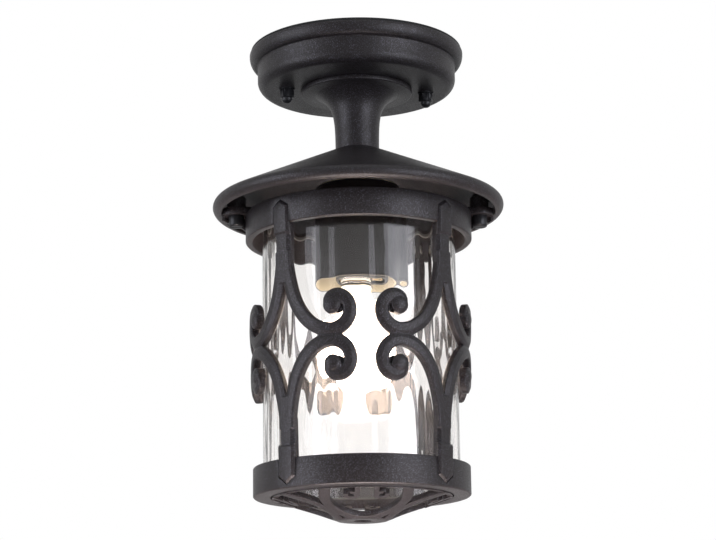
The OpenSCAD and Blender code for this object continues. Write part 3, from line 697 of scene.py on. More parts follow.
def turned(name: str, outline: Sequence[Point], sides: int = 144, smooth: float = 35.0) -> Piece:
    """Turns an outline round Z: a circle is extruded and resized from one point to the next.

    Args:
        name: the piece's name.
        outline: points of radius and height in millimetres; a radius of 0 closes to a pole, and
            an outline that ends where it began is a closed ring.
        sides: how many sides the circle has.
        smooth: edges below this angle shade smooth.

    Returns:
        The turned object.
    """
    put_down()
    points = list(outline)
    start_pole = points[0] if points[0][0] == 0 else None
    if start_pole:
        points = points[1:]
    radius, height = points[0]
    bpy.ops.mesh.primitive_circle_add(vertices=sides, radius=radius * MM, fill_type="NOTHING")
    piece = bpy.context.object
    edit_all()
    bpy.ops.transform.translate(value=(0, 0, height * MM))
    first = (radius, height)
    for next_radius, next_height in points[1:]:
        step = (0, 0, (next_height - height) * MM)
        bpy.ops.mesh.extrude_region_move(TRANSFORM_OT_translate={"value": step})
        if next_radius > 0:
            k = next_radius / radius
            bpy.ops.transform.resize(value=(k, k, 1), center_override=(0, 0, next_height * MM))
        else:
            bpy.ops.mesh.merge(type="CENTER")
        radius, height = next_radius, next_height
    if start_pole:
        def on_first(co: Vector) -> bool:
            """Whether a vertex is on the ring that was made first."""
            return (
                abs(co.z - first[1] * MM) < 1e-7
                and abs(math.hypot(co.x, co.y) - first[0] * MM) < 1e-6
            )

        pick(piece, on_first)
        bpy.ops.mesh.extrude_region_move(
            TRANSFORM_OT_translate={"value": (0, 0, (start_pole[1] - first[1]) * MM)}
        )
        bpy.ops.mesh.merge(type="CENTER")
    return settle(piece, name, smooth)


def arc(x: float, z: float, r: float, a: float, b: float, steps: int = 8) -> list[Point]:
    """Points of an arc in an outline.

    Args:
        x: radius of its centre from the axis.
        z: height of its centre.
        r: its radius.
        a: first angle in degrees.
        b: last angle in degrees.
        steps: how many steps.

    Returns:
        The points.
    """
    return [
        (
            x + r * math.cos(math.radians(a + (b - a) * i / steps)),
            z + r * math.sin(math.radians(a + (b - a) * i / steps)),
        )
        for i in range(steps + 1)
    ]


def smoothed_copy(node: str, name: str, soften: float = 0.0) -> Piece:
    """Copies a solid, merges its loose triangles and shades it smooth.

    Args:
        node: the solid's name.
        name: the piece's name.
        soften: width in millimetres of a bevel on its sharp edges, or 0.

    Returns:
        The copy.
    """
    put_down()
    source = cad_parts[node]
    piece = bpy.data.objects.new(name, source.data.copy())
    bpy.context.scene.collection.objects.link(piece)
    for key in list(piece.keys()):
        del piece[key]
    take_up(piece)
    edit_all()
    bpy.ops.mesh.remove_doubles(threshold=MERGE)
    bpy.ops.mesh.tris_convert_to_quads(face_threshold=0.02, shape_threshold=0.7)
    bpy.ops.object.mode_set(mode="OBJECT")
    if soften > 0:
        apply_modifier(
            piece,
            "BEVEL",
            width=soften * MM,
            segments=2,
            limit_method="ANGLE",
            angle_limit=math.radians(40),
        )
    bpy.ops.object.shade_smooth_by_angle(angle=math.radians(32.0))
    piece.data.name = name
    return piece


def mount(piece: Piece, body: Body, finish: Finish, *nodes: str) -> None:
    """Paints a piece, rides it on a body and hides the solids that it stands for.

    Args:
        piece: the piece.
        body: the body that carries it.
        finish: its finish.
        nodes: the solids that it replaces.
    """
    PAINT.paint(piece, finish)
    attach(piece, body.value)
    if nodes:
        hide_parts(*nodes)
    log.info("%s rides on %s: %d faces", piece.name, body.value, len(piece.data.polygons))


def dress(body: Body, finishes: dict[str, Finish]) -> None:
    """Smooths solids as they are and mounts each in its place.

    Args:
        body: the body that carries them.
        finishes: each solid's name and finish.
    """
    for node, finish in finishes.items():
        mount(smoothed_copy(node, node + "_smooth"), body, finish, node)


def heights(node: str) -> Tuple[float, float]:
    """Lowest and highest level of a solid, in millimetres.

    Args:
        node: the solid's name.

    Returns:
        The two levels.
    """
    low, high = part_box(node)
    return low.z / MM, high.z / MM


def widest(node: str) -> float:
    """Largest X of a solid, in millimetres: the radius of a turned one."""
    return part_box(node)[1].x / MM


# ------------------------------------------------------------------ ceiling part


@dataclass
class CeilingPart:
    """The pan, its stem and what hangs them from the ceiling."""

    rim_height: float = 10.0
    rim_round: float = 5.0
    rim_curve: float = 7.8
    rim_step: float = 6.0
    corner_round: float = 7.0
    wall: float = 3.0
    flange_thickness: float = 3.6
    flange_radius: float = 41.5
    flare_radius: float = 31.0
    neck_radius: float = 16.2
    flare_rate: float = 0.133
    bore_radius: float = 11.0

    def pan(self) -> Piece:
        """The cast pan, open to the ceiling.

        Returns:
            The piece.
        """
        low, top = heights("ceiling_pan")
        rim = widest("ceiling_pan")
        side = rim - self.rim_step
        corner = self.corner_round
        rim_low = top - self.rim_height
        inner = side - self.wall
        round_in = corner - self.wall
        return turned(
            "pan_casting",
            [(NIPPLE_HOLE, low)]
            + arc(side - corner, low + corner, corner, -90, 0, 12)
            + arc(side + 0.8, rim_low - 0.8, 0.8, 180, 90, 3)
            + [
                (rim - self.rim_round * (1 - math.cos(math.radians(a))),
                 rim_low + self.rim_curve * (1 - math.sin(math.radians(a))))
                for a in range(90, -1, -6)
            ]
            + arc(rim - 1.5, top - 1.5, 1.5, 0, 90, 5)
            + [(inner, top)]
            + arc(inner - round_in, low + self.wall + round_in, round_in, 0, -90, 6)
            + [(NIPPLE_HOLE, low + self.wall), (NIPPLE_HOLE, low)],
            sides=192,
        )

    def trumpet(self) -> Piece:
        """The cast stem: a round flange and a trumpet that narrows to a neck.

        Returns:
            The piece.
        """
        low, top = heights("stem")
        under = top - self.flange_thickness
        flare = []
        for i in range(31):
            drop = (under - low) * (i / 30) ** 1.5
            swell = (self.flare_radius - self.neck_radius) * math.exp(-self.flare_rate * drop)
            flare.append((self.neck_radius + swell, under - drop))
        edge = self.flange_radius
        return turned(
            "stem_casting",
            [(self.bore_radius, top), (edge - 0.8, top)]
            + arc(edge - 0.8, top - 0.8, 0.8, 90, 0, 3)
            + arc(edge - 1.1, under + 1.1, 1.1, 0, -90, 4)
            + flare
            + [(self.bore_radius, low), (self.bore_radius, top)],
            sides=144,
            smooth=28,
        )

    def build(self) -> None:
        """Makes and mounts every piece of the ceiling part."""
        mount(self.pan(), Body.FIXTURE, Finish.CASTING, "ceiling_pan")
        mount(self.trumpet(), Body.FIXTURE, Finish.CASTING, "stem")
        dress(
            Body.FIXTURE,
            {
                "ceiling_gasket": Finish.FOAM,
                "mounting_strap": Finish.ZINC_STEEL,
                "strap_studs": Finish.ZINC_STEEL,
                "lock_nuts": Finish.ZINC_STEEL,
                "nut_washers": Finish.BLACK_FASTENER,
                "dome_nuts": Finish.BLACK_FASTENER,
                "terminal_block": Finish.WHITE_PLASTIC,
                "terminal_screws": Finish.ZINC_STEEL,
                "earth_screw": Finish.BRASS,
                "live_lead": Finish.BROWN_WIRE,
                "neutral_lead": Finish.BLUE_WIRE,
                "earth_lead": Finish.GREEN_WIRE,
                "nipple_tube": Finish.ZINC_STEEL,
                "nipple_nuts": Finish.ZINC_STEEL,
            },
        )


# ------------------------------------------------------------------ hood and lampholder


@dataclass
class HoodPart:
    """The conical hood and the lampholder in its black can."""

    flat_radius: float = 17.0
    bead: float = 5.0
    thickness: float = 3.0
    lip: float = 1.5
    hub_radius: float = 12.0
    hub_drop: float = 28.0
    boss_diameter: float = 14.0
    can_wall: float = 1.2

    def hood(self) -> Piece:
        """The cast hood: a cone that touches its rolled edge, with a hub; its two screw bosses are
        separate pieces.

        Returns:
            The piece.
        """
        low, top = heights("hood")[0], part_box("stem")[0].z / MM
        edge = widest("hood")
        bead_x, bead_z = edge - self.bead, low + self.bead
        run, rise = bead_x - self.flat_radius, bead_z - top
        lean = math.asin(self.bead / math.hypot(run, rise))
        slope = math.degrees(math.atan2(rise, run)) + math.degrees(lean)
        tilt = math.tan(math.radians(slope))
        lip = bead_x - self.lip

        def under(r: float) -> float:
            """Height of the cone's inner face at a radius."""
            drop = self.thickness / math.cos(math.radians(slope))
            return top + (r - self.flat_radius) * tilt - drop

        hub = self.hub_radius
        return turned(
            "hood_casting",
            [(NIPPLE_HOLE, top), (self.flat_radius, top)]
            + [(self.flat_radius + run * i / 8, top + run * i / 8 * tilt) for i in range(1, 8)]
            + arc(bead_x, bead_z, self.bead, 90 + slope, -90, 18)
            + [(lip + 0.5, low), (lip, low + 0.5), (lip, under(lip) - 0.6)]
            + [(lip - 1.5, under(lip - 1.5))]
            + [(lip - (lip - hub) * i / 6, under(lip - (lip - hub) * i / 6)) for i in range(1, 6)]
            + [(hub + 2.0, under(hub + 2.0)), (hub, under(hub) - 2.0), (hub, top - self.hub_drop)]
            + [(NIPPLE_HOLE, top - self.hub_drop), (NIPPLE_HOLE, top)],
            sides=240,
            smooth=30,
        )

    def boss(self, side: int) -> Piece:
        """One boss that takes a cage screw.

        Args:
            side: -1 for the left one and 1 for the right one.

        Returns:
            The piece.
        """
        screw_low, screw_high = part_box("cage_screw_right" if side > 0 else "cage_screw_left")
        centre = (screw_low.x + screw_high.x) / 2
        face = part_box("upper_ring")[1].z / MM
        r = self.boss_diameter / 2
        # the boss starts under the cone's outer face
        top = face + 10.0
        piece = turned(
            f"hood_boss_{'right' if side > 0 else 'left'}",
            [(2.5, top), (r - 1.5, top), (r, top - 1.5)]
            + arc(r - 0.6, face + 0.6, 0.6, 0, -90, 3)
            + [(2.5, face), (2.5, top)],
            sides=48,
        )
        piece.location.x = centre
        return settle(piece, piece.name)

    def can(self) -> Piece:
        """The pressed black can round the lampholder.

        Returns:
            The piece.
        """
        low, top = heights("holder_can")
        r = widest("holder_can") - 0.6
        t = self.can_wall
        return turned(
            "holder_can_pressed",
            [(NIPPLE_HOLE, top)]
            + arc(r - 4, top - 4, 4, 90, 0, 8)
            + [(r, low + 2.6)]
            + arc(r - 0.2, low + 0.8, 0.8, 60, -60, 6)
            + [(r - t, low + 0.2), (r - t, top - 4)]
            + arc(r - 4, top - 4, 4 - t, 0, 90, 6)
            + [(NIPPLE_HOLE, top - t), (NIPPLE_HOLE, top)],
            sides=128,
        )

    def build(self) -> None:
        """Makes and mounts every piece of the hood part."""
        mount(self.hood(), Body.FIXTURE, Finish.CASTING, "hood")
        for side in (-1, 1):
            mount(self.boss(side), Body.FIXTURE, Finish.CASTING)
        mount(self.can(), Body.FIXTURE, Finish.BLACK_STEEL, "holder_can")
        dress(
            Body.FIXTURE,
            {
                "lampholder_body": Finish.BLACK_PLASTIC,
                "lampholder_insulator": Finish.WHITE_PLASTIC,
                "screw_shell": Finish.BRASS,
                "centre_contact": Finish.BRASS,
            },
        )
        for body in (Body.SCREW_LEFT, Body.SCREW_RIGHT):
            screw = smoothed_copy(body.value, body.value + "_smooth", soften=0.4)
            mount(screw, body, Finish.BLACK_FASTENER, body.value)


# ------------------------------------------------------------------ scrolled arm


@dataclass
class ScrolledArm:
    """One cast arm: an upright that splits into four bars, each rolled up round its eye.

    It is drawn flat, X across and Z up from the scrolls' middle line with Y inwards from the
    arm's outer face, and then wrapped round the cage.
    """

    post_width: float = 14.0
    thickness: float = 6.5
    sweep: float = 55.0
    reach: float = 39.2
    rise: float = 20.6
    bar_width: float = 10.0
    bar_cross: float = 1.7
    tip_width: float = 7.4
    eye_radius: float = 6.4
    eye_dome: float = 1.6
    roll_end: float = 255.0
    roll_spread: float = 279.0
    foot_width: float = 16.0
    head_width: float = 14.8
    face_bevel: float = 2.4
    edge_bevel: float = 0.9
    slope_width: float = 2.7
    slope_depth: float = 1.5
    voxel: float = 0.45
    upper_radius: float = 83.3
    lower_radius: float = 78.4
    plate_proud: float = 1.5
    plate_depth: float = 2.1
    head_flat: float = 9.0
    head_point: float = 4.7
    foot_flat: float = 9.5
    foot_point: float = 5.5
    crotch_low: float = 14.5
    crotch_high: float = 12.0
    crotch_half: float = 3.3
    levels: dict[str, float] = field(default_factory=dict)

    def __post_init__(self) -> None:
        """Reads the levels of the rings and of the scrolls' middle line."""
        ring_low, _ = heights("upper_ring")
        low, low_top = heights("lower_ring")
        arm_low, arm_top = heights("arm_front_left")
        self.levels = {
            "ring_low": ring_low,
            "low_top": low_top,
            "low": low,
            "arm_top": arm_top,
            "arm_low": arm_low,
            "ring_top": arm_top + 3.0,
            "mid": arm_top + 3.0 - 104.0,
        }

    def centre_line(self) -> list[Tuple[float, float, float]]:
        """Centre line of one bar.

        Returns:
            Points of distance across, height and half width.
        """
        foot = self.bar_width / 2 - self.bar_cross
        root = self.post_width / 4
        line = [(root, self.sweep + 8.0, root)]
        for i in range(21):
            t = math.radians(90 * i / 20)
            half = root + (self.bar_width / 2 - root) * math.sin(min(4 * t, math.pi / 2))
            line.append(
                (
                    self.reach - (self.reach - root) * math.cos(t),
                    self.sweep - (self.sweep - foot) * math.sin(t),
                    half,
                )
            )
        spin = self.rise - foot
        for i in range(1, 31):
            a = self.roll_end * i / 30
            r = spin * (1 - (a / self.roll_spread) ** 1.15)
            narrower = (self.tip_width - self.bar_width) * (a / self.roll_end) ** 1.5
            line.append(
                (
                    self.reach + r * math.sin(math.radians(a)),
                    self.rise - r * math.cos(math.radians(a)),
                    (self.bar_width + narrower) / 2,
                )
            )
        return line

    def bar(self) -> Piece:
        """One bar: a bevelled plate is extruded, turned and resized along the centre line.

        Returns:
            The object, above the middle line on the right.
        """
        put_down()
        line = self.centre_line()
        bpy.ops.mesh.primitive_plane_add(size=1.0)
        piece = bpy.context.object
        edit_all()
        x, z, half = line[0]
        bpy.ops.transform.resize(
            value=(2 * half * MM, self.thickness * MM, 1), center_override=(0, 0, 0)
        )
        pick(piece, lambda co: co.y < 0 and co.x > 0)
        bpy.ops.mesh.bevel(offset=self.edge_bevel * MM, segments=1, affect="VERTICES")
        pick(piece, lambda co: co.y < 0 and co.x < (-half + 0.1) * MM)
        bpy.ops.mesh.bevel(offset=self.slope_depth * MM, segments=1, affect="VERTICES")
        face, edge = (0.1 - self.thickness / 2) * MM, (self.slope_depth + 0.1 - half) * MM
        pick(piece, lambda co: co.y < face and co.x < edge)
        bpy.ops.transform.translate(value=((self.slope_width - self.slope_depth) * MM, 0, 0))
        pick(piece, lambda co: co.y > (self.thickness / 2 - 0.1) * MM)
        bpy.ops.mesh.bevel(offset=1.2 * MM, segments=2, affect="VERTICES")
        bpy.ops.mesh.select_all(action="SELECT")
        middle = self.thickness / 2 * MM
        bpy.ops.transform.translate(value=(x * MM, middle, z * MM))
        heading = math.pi
        for i in range(1, len(line)):
            nx, nz, wide = line[i]
            bpy.ops.mesh.extrude_region_move(
                TRANSFORM_OT_translate={"value": ((nx - x) * MM, 0, (nz - z) * MM)}
            )
            after = line[min(i + 1, len(line) - 1)]
            before = line[i - 1]
            course = math.atan2(after[0] - before[0], after[1] - before[1])
            turn = (course - heading + math.pi) % (2 * math.pi) - math.pi
            here = (nx * MM, middle, nz * MM)
            bpy.ops.transform.rotate(value=-turn, orient_axis="Y", center_override=here)
            # the ring lies across the course, so only its width changes
            k = wide / half
            bpy.ops.transform.resize(value=(k, 1, k), center_override=here)
            x, z, half, heading = nx, nz, wide, course
        bpy.ops.object.mode_set(mode="OBJECT")
        return piece

    def block(self, half: float, low: float, high: float, out: float = 0.0) -> Piece:
        """An upright with bevelled edges.

        Args:
            half: half its width.
            low: its lower level.
            high: its upper level.
            out: how far it stands out on both faces.

        Returns:
            The object.
        """
        put_down()
        bpy.ops.mesh.primitive_cube_add(size=1.0)
        piece = bpy.context.object
        piece.scale = (2 * half * MM, (self.thickness + 2 * out) * MM, (high - low) * MM)
        piece.location = (0, self.thickness / 2 * MM, (low + high) / 2 * MM)
        bpy.ops.object.transform_apply(location=True, rotation=True, scale=True)
        bpy.ops.object.mode_set(mode="EDIT")
        if half > self.face_bevel + 1.0:
            face = -out * MM + 1e-5
            pick_edges(piece, lambda a, b: max(a.y, b.y) < face and abs(a.x - b.x) < 1e-5)
            bpy.ops.mesh.bevel(offset=self.face_bevel * MM, segments=1, affect="EDGES")
        bpy.ops.object.mode_set(mode="OBJECT")
        return piece

    def eye(self) -> Piece:
        """The eye of a scroll: a collar with a domed face.

        Returns:
            The object, on the axis of Y at the origin.
        """
        r, dome = self.eye_radius, self.eye_dome
        back = self.thickness - 0.2
        outline = [(0.0, -dome)]
        for a in (15, 30, 45, 60, 75):
            turn = math.radians(a)
            outline.append((r * 0.78 * math.sin(turn), -dome * math.cos(turn)))
        outline += [(r * 0.80, -0.1), (r - 0.7, -0.2), (r, 0.8), (r, back), (0.0, back)]
        piece = turned("eye", outline, sides=48)
        piece.rotation_euler.x = math.radians(-90)
        return settle(piece, "eye")

    def floor(self) -> Piece:
        """The sunk floor between an eye and its bar."""
        r, face, back = self.eye_radius + 1.6, 2.9, self.thickness - 0.6
        piece = turned("eye_floor", [(0.0, face), (r, face), (r, back), (0.0, back)], sides=32)
        piece.rotation_euler.x = math.radians(-90)
        return settle(piece, "eye_floor")

    def plate(self, width: float, flat: float, shoulder: float, tip: float) -> Piece:
        """A pointed plate, cut from a block by two slanted planes.

        Args:
            width: its width.
            flat: level of its square end.
            shoulder: level where it starts to narrow.
            tip: level of its point.

        Returns:
            The object.
        """
        back, face = self.plate_depth, self.plate_proud
        put_down()
        bpy.ops.mesh.primitive_cube_add(size=1.0)
        piece = bpy.context.object
        piece.scale = (width * MM, (back + face) * MM, abs(tip - flat) * MM)
        piece.location = (0, (back - face) / 2 * MM, (tip + flat) / 2 * MM)
        bpy.ops.object.transform_apply(location=True, rotation=True, scale=True)
        bpy.ops.object.mode_set(mode="EDIT")
        way = 1.0 if tip > flat else -1.0
        for side in (-1, 1):
            bpy.ops.mesh.select_all(action="SELECT")
            normal = Vector((side * abs(tip - shoulder), 0, way * width / 2)).normalized()
            bpy.ops.mesh.bisect(
                plane_co=(side * width / 2 * MM, 0, shoulder * MM),
                plane_no=normal,
                use_fill=True,
                clear_outer=True,
            )
        rim, side_x = -face * MM + 1e-5, width / 3 * MM
        pick_edges(piece, lambda a, b: max(a.y, b.y) < rim and max(abs(a.x), abs(b.x)) > side_x)
        bpy.ops.mesh.bevel(offset=1.9 * MM, segments=1, affect="EDGES")
        bpy.ops.mesh.select_all(action="SELECT")
        bpy.ops.mesh.bevel(offset=0.25 * MM, segments=2, affect="EDGES")
        bpy.ops.object.mode_set(mode="OBJECT")
        return piece

    def flat_arm(self) -> Piece:
        """The whole arm, flat: its parts are fused with small fillets, as a casting has.

        Returns:
            The object.
        """
        lv = self.levels
        parts: list[Piece] = []
        bar = self.bar()
        eye, floor = self.eye(), self.floor()
        for side in (-1, 1):
            for way in (-1, 1):
                parts.append(mirrored(bar, side, way))
                for round_piece, out, up in ((eye, 0.0, 0.0), (floor, 2.6, 2.2)):
                    at = (side * (self.reach + out) * MM, 0, way * (self.rise + up) * MM)
                    parts.append(copied(round_piece, Matrix.Translation(at)))
        for spare in (bar, eye, floor):
            bpy.data.objects.remove(spare)
        half = self.post_width / 2
        parts.append(self.block(half, self.sweep + 1, lv["ring_low"] - lv["mid"] - 0.3))
        parts.append(self.block(half, lv["low_top"] - lv["mid"] + 0.3, -self.sweep - 1))
        near, far = self.sweep - self.crotch_low, self.sweep + self.crotch_high
        parts.append(self.block(self.crotch_half, near, far, -0.1))
        parts.append(self.block(self.crotch_half, -far, -near, -0.1))
        take_up(*parts)
        bpy.ops.object.join()
        arm = bpy.context.object
        take_up(arm)
        edit_all()
        bpy.ops.mesh.normals_make_consistent(inside=False)
        bpy.ops.object.mode_set(mode="OBJECT")
        apply_modifier(arm, "REMESH", mode="VOXEL", voxel_size=self.voxel * MM, adaptivity=0.0)
        apply_modifier(arm, "SMOOTH", factor=0.5, iterations=1)
        mid, top, low = lv["mid"], lv["arm_top"], lv["arm_low"]
        head = self.plate(
            self.head_width,
            lv["ring_low"] - self.head_flat - mid,
            top - self.head_point - mid,
            top - mid,
        )
        foot = self.plate(
            self.foot_width,
            lv["low_top"] + self.foot_flat - mid,
            low + self.foot_point - mid,
            low - mid,
        )
        take_up(arm, head, foot)
        bpy.ops.object.join()
        return bpy.context.object

    def wrap(self, arm: Piece) -> None:
        """Wraps the flat arm round the cage, facing -Y.

        Args:
            arm: the flat arm.
        """
        lv = self.levels
        top, low = lv["ring_top"], lv["low"]
        span = top - low
        taper = self.lower_radius - self.upper_radius
        mid_radius = self.upper_radius + taper * (top - lv["mid"]) / span
        for vertex in arm.data.vertices:
            level = lv["mid"] + vertex.co.z / MM
            share = min(max((top - level) / span, 0.0), 1.0)
            face = self.upper_radius + taper * share
            if level > lv["ring_low"]:
                face = self.upper_radius
            if level < lv["low_top"]:
                face = self.lower_radius
            radius = face - vertex.co.y / MM
            angle = vertex.co.x / MM / mid_radius
            vertex.co = (
                radius * math.sin(angle) * MM,
                -radius * math.cos(angle) * MM,
                level * MM,
            )

    def build(self) -> None:
        """Makes the arm once and mounts four copies, each with its own mesh."""
        arm = self.flat_arm()
        self.wrap(arm)
        settle(arm, "arm_pattern", 40)
        for node, turn in (
            ("arm_front_left", -45.0),
            ("arm_front_right", 45.0),
            ("arm_back_right", 135.0),
            ("arm_back_left", -135.0),
        ):
            copy = copied(arm, Matrix.Rotation(math.radians(turn), 4, "Z"))
            copy.name = node + "_casting"
            mount(copy, Body.CAGE, Finish.CASTING, node)
        bpy.data.objects.remove(arm)


def mirrored(piece: Piece, side: int, way: int) -> Piece:
    """A copy with its own mesh, mirrored in X and Z as asked.

    Args:
        piece: the pattern.
        side: -1 mirrors in X.
        way: -1 mirrors in Z.

    Returns:
        The copy.
    """
    copy = copied(piece, Matrix.Diagonal((side, 1, way, 1)))
    if side * way < 0:
        copy.data.flip_normals()
    return copy


# ------------------------------------------------------------------ cage and glass


@dataclass
class CagePart:
    """The rings, the grille, the arms and the fluted glass that come down together."""

    flutes: int = 24
    steps: int = 10
    glass_radius: float = 71.0
    glass_wall: float = 4.0
    flute_depth: float = 0.7

    def glass(self) -> Piece:
        """The glass cylinder: plain outside, with flutes down its inside.

        Returns:
            The piece.
        """
        low, top = heights("glass_cylinder")
        inner = self.glass_radius - self.glass_wall
        sides = self.flutes * self.steps
        r = self.glass_radius
        piece = turned(
            "fluted_glass",
            [(inner, low), (inner + 0.3, low), (r - 0.4, low), (r, low + 0.4)]
            + [(r, top - 0.4), (r - 0.4, top), (inner + 0.3, top), (inner, top)]
            + [(inner, top + (low - top) * i / 3) for i in (1, 2)]
            + [(inner, low)],
            sides=sides,
        )
        take_up(piece)
        bpy.ops.object.mode_set(mode="EDIT")
        for phase in range(self.steps // 2 + 1):
            deep = self.flute_depth * (1 + math.cos(2 * math.pi * phase / self.steps)) / 2
            if deep <= 0:
                continue

            def in_flute(co: Vector) -> bool:
                """Whether an inner vertex lies this many steps from a flute's middle."""
                if math.hypot(co.x, co.y) > (inner + 0.05) * MM:
                    return False
                at = math.degrees(math.atan2(co.y, co.x)) / (360.0 / sides)
                near = abs((at + self.steps / 2) % self.steps - self.steps / 2)
                return abs(near - phase) < 0.3

            if pick(piece, in_flute):
                k = (inner + deep) / inner
                bpy.ops.transform.resize(value=(k, k, 1), center_override=(0, 0, 0))
        bpy.ops.object.mode_set(mode="OBJECT")
        return settle(piece, "fluted_glass", 50)

    def build(self) -> None:
        """Makes and mounts every piece of the cage."""
        for node, soften in (("upper_ring", 0.5), ("lower_ring", 0.5), ("base_grille", 0.6)):
            casting = smoothed_copy(node, node + "_casting", soften=soften)
            mount(casting, Body.CAGE, Finish.CASTING, node)
        ScrolledArm().build()
        dress(Body.CAGE, dict.fromkeys(("upper_arm_screws", "lower_arm_screws"), Finish.ZINC_STEEL))
        mount(self.glass(), Body.CAGE, Finish.CLEAR_GLASS, "glass_cylinder")
        gaskets = ("glass_gasket_top", "glass_gasket_bottom")
        dress(Body.CAGE, dict.fromkeys(gaskets, Finish.CLEAR_GASKET))


# ------------------------------------------------------------------ lamp


@dataclass
class LampPart:
    """The lamp: a round-ended envelope on a screw cap."""

    ball_radius: float = 30.0
    cap_radius: float = 13.0
    cap_bore: float = 11.4
    thread_pitch: float = 3.6
    thread_depth: float = 0.8

    def envelope(self) -> Piece:
        """The envelope, a ball with a smooth shoulder up to its neck.

        Returns:
            The piece.
        """
        low, top = heights("bulb_glass")
        centre = low + self.ball_radius
        neck = self.cap_radius - 1.0
        r = self.ball_radius
        start_z = centre + r * math.sin(math.radians(25))
        start_r = r * math.cos(math.radians(25))
        neck_z = top - 6.0
        outline: list[Point] = [(0.0, low)] + arc(0.0, centre, r, -84, 24, 18)
        outline += [
            (neck + (start_r - neck) * (1 + math.cos(math.pi * i / 16)) / 2,
             start_z + (neck_z - 2 - start_z) * i / 16)
            for i in range(1, 17)
        ]
        outline += [(neck, top), (0.0, top)]
        return turned("lamp_envelope", outline, sides=96)

    def cap(self) -> Piece:
        """The screw cap with its rolled thread.

        Returns:
            The piece.
        """
        low, top = heights("bulb_cap")
        r = self.cap_radius
        outline: list[Point] = [(self.cap_bore, low), (r + 0.2, low), (r + 0.2, low + 0.6)]
        outline.append((r - 0.6, low + 2.0))
        z = low + 2.6
        while z < top - 4.0:
            for i in range(6):
                a = 2 * math.pi * i / 6
                groove = self.thread_depth / 2 * (1 - math.cos(a))
                outline.append((r - 0.4 - groove, z + self.thread_pitch * i / 6))
            z += self.thread_pitch
        outline += [(r - 0.6, top - 3.0), (9.0, top), (5.2, top), (5.2, top - 2.0)]
        outline += [(self.cap_bore, top - 6.0), (self.cap_bore, low)]
        return turned("lamp_cap", outline, sides=96)

    def build(self) -> None:
        """Makes and mounts the lamp."""
        mount(self.envelope(), Body.BULB, Finish.LAMP_GLASS, "bulb_glass")
        mount(self.cap(), Body.BULB, Finish.CAP_METAL, "bulb_cap")
        insulator = smoothed_copy("bulb_insulator", "lamp_insulator")
        mount(insulator, Body.BULB, Finish.BLACK_VITRITE, "bulb_insulator")
        contact = smoothed_copy("bulb_contact", "lamp_contact")
        mount(contact, Body.BULB, Finish.ZINC_STEEL, "bulb_contact")


# ------------------------------------------------------------------ studio


@dataclass
class PhotoCamera:
    """The photograph's camera, below the lantern and looking up at it."""

    distance: float = 1.5265
    eye_height: float = -0.525
    azimuth: float = 3.23
    pitch: float = 13.17
    yaw: float = -0.030
    roll: float = -0.81
    focal_px: float = 2130.5
    image_width: int = 716

    def build(self) -> None:
        """Makes the camera and gives it to the scene."""
        around = math.radians(self.azimuth)
        heading = around + math.radians(self.yaw)
        pitch = math.radians(self.pitch)
        level = math.cos(pitch)
        ahead = Vector((math.sin(heading) * level, math.cos(heading) * level, math.sin(pitch)))
        right = Vector((math.cos(heading), -math.sin(heading), 0.0))
        up = right.cross(ahead)
        roll = math.radians(self.roll)
        x = right * math.cos(roll) + up * math.sin(roll)
        y = up * math.cos(roll) - right * math.sin(roll)
        data = bpy.data.cameras.new("photo_camera")
        data.sensor_fit = "HORIZONTAL"
        data.sensor_width = 36.0
        data.lens = self.focal_px / self.image_width * 36.0
        data.clip_start = 0.01
        data.clip_end = 50.0
        camera = bpy.data.objects.new("photo_camera", data)
        bpy.context.scene.collection.objects.link(camera)
        at = Vector(
            (-self.distance * math.sin(around), -self.distance * math.cos(around), self.eye_height)
        )
        turn = Matrix((x, y, -ahead)).transposed().to_4x4()
        camera.matrix_world = Matrix.Translation(at) @ turn
        bpy.context.scene.camera = camera


@dataclass(frozen=True)
class SoftBox:
    """A rectangular studio lamp."""

    name: str
    place: Tuple[float, float, float]
    size: Tuple[float, float]
    power: float
    aim: Tuple[float, float, float] = (0.0, 0.0, -0.18)
    colour: Tuple[float, float, float] = (1.0, 1.0, 1.0)

    def build(self) -> None:
        """Makes the lamp and points it at the lantern."""
        data = bpy.data.lights.new(self.name, "AREA")
        data.shape = "RECTANGLE"
        data.size, data.size_y = self.size
        data.energy = self.power
        data.color = self.colour
        lamp = bpy.data.objects.new(self.name, data)
        bpy.context.scene.collection.objects.link(lamp)
        lamp.location = self.place
        lamp.visible_camera = False
        towards = Vector(self.aim) - Vector(self.place)
        lamp.rotation_euler = towards.to_track_quat("-Z", "Y").to_euler()


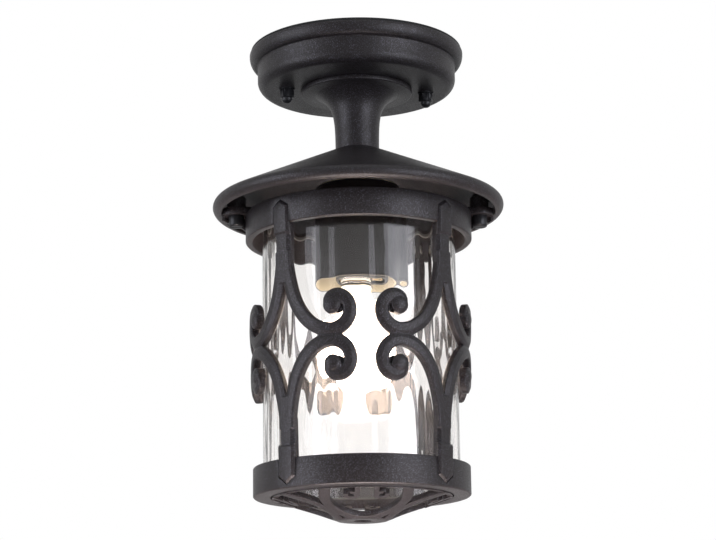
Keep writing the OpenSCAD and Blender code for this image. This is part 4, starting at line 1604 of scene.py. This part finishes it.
@dataclass
class Studio:
    """A plain pale floor, soft lamps and a white surround."""

    floor_level: float = -2.6
    surround: float = 0.16
    room_behind_camera: float = 0.16
    room_around: float = 0.5
    camera_side: Tuple[float, float, float] = (-0.208, -0.978, 0.0)
    boxes: Tuple[SoftBox, ...] = (
        SoftBox("softbox_left", (-1.32, -0.53, -0.2), (1.0, 1.2), 8.2, colour=COOL_WHITE),
        SoftBox("softbox_right", (1.0, -1.0, -0.2), (1.0, 1.2), 9.8, colour=COOL_WHITE),
        SoftBox("softbox_top", (0.0, -0.9, 1.1), (1.2, 0.7), 1.0),
        SoftBox(
            "softbox_below", (0.0, -0.12, -0.75), (0.4, 0.4), 5.0, (0.0, 0.0, -0.3), WARM_WHITE
        ),
    )

    def world(self) -> None:
        """White to the camera and through glass, a dimmer room to reflections, soft as light."""
        world = bpy.data.worlds.new("studio_world")
        bpy.context.scene.world = world
        s = ShaderBench(world)
        camera, through, mirrored_in = (
            s.add("ShaderNodeLightPath", output=f"Is {kind} Ray")
            for kind in ("Camera", "Transmission", "Glossy")
        )
        towards_camera = s.add(
            "ShaderNodeVectorMath",
            {"operation": "DOT_PRODUCT"},
            {0: s.add("ShaderNodeTexCoord", output="Generated"), 1: self.camera_side},
            output="Value",
        )
        room = s.add(
            "ShaderNodeMapRange",
            {"interpolation_type": "SMOOTHSTEP"},
            {
                "Value": towards_camera,
                "From Min": 0.9,
                "From Max": 0.7,
                "To Min": self.room_behind_camera,
                "To Max": self.room_around,
            },
        )
        light, white = (
            s.add("ShaderNodeBackground", None, {"Color": colour, "Strength": strength})
            for colour, strength in (
                (rgba(0.95, 0.97, 1.0), self.surround),
                (rgba(1.0, 1.0, 1.0), 1.0),
            )
        )
        shown = camera.most(through).most(mirrored_in * room)
        s.surface(s.add("ShaderNodeMixShader", None, {0: shown, 1: light, 2: white}), "World")

    def floor(self) -> None:
        """The pale floor, well below the lantern."""
        put_down()
        bpy.ops.mesh.primitive_plane_add(size=16.0)
        floor = bpy.context.object
        floor.location.z = self.floor_level
        settle(floor, "studio_floor")
        floor.data.materials.append(StudioWhite().material())

    def build(self) -> None:
        """Makes the floor, the lamps and the surround, and sets plain colour handling."""
        self.world()
        self.floor()
        for box in self.boxes:
            box.build()
        bpy.context.scene.view_settings.view_transform = "Standard"


def main() -> None:
    """Builds the camera, the lantern's parts and the studio, in that order."""
    logging.basicConfig(level=logging.INFO, format="%(name)s: %(message)s")
    PhotoCamera().build()
    for part in (CeilingPart(), HoodPart(), CagePart(), LampPart()):
        part.build()
        log.info("%s is built", type(part).__name__)
    Studio().build()


if __name__ == "__main__":
    main()
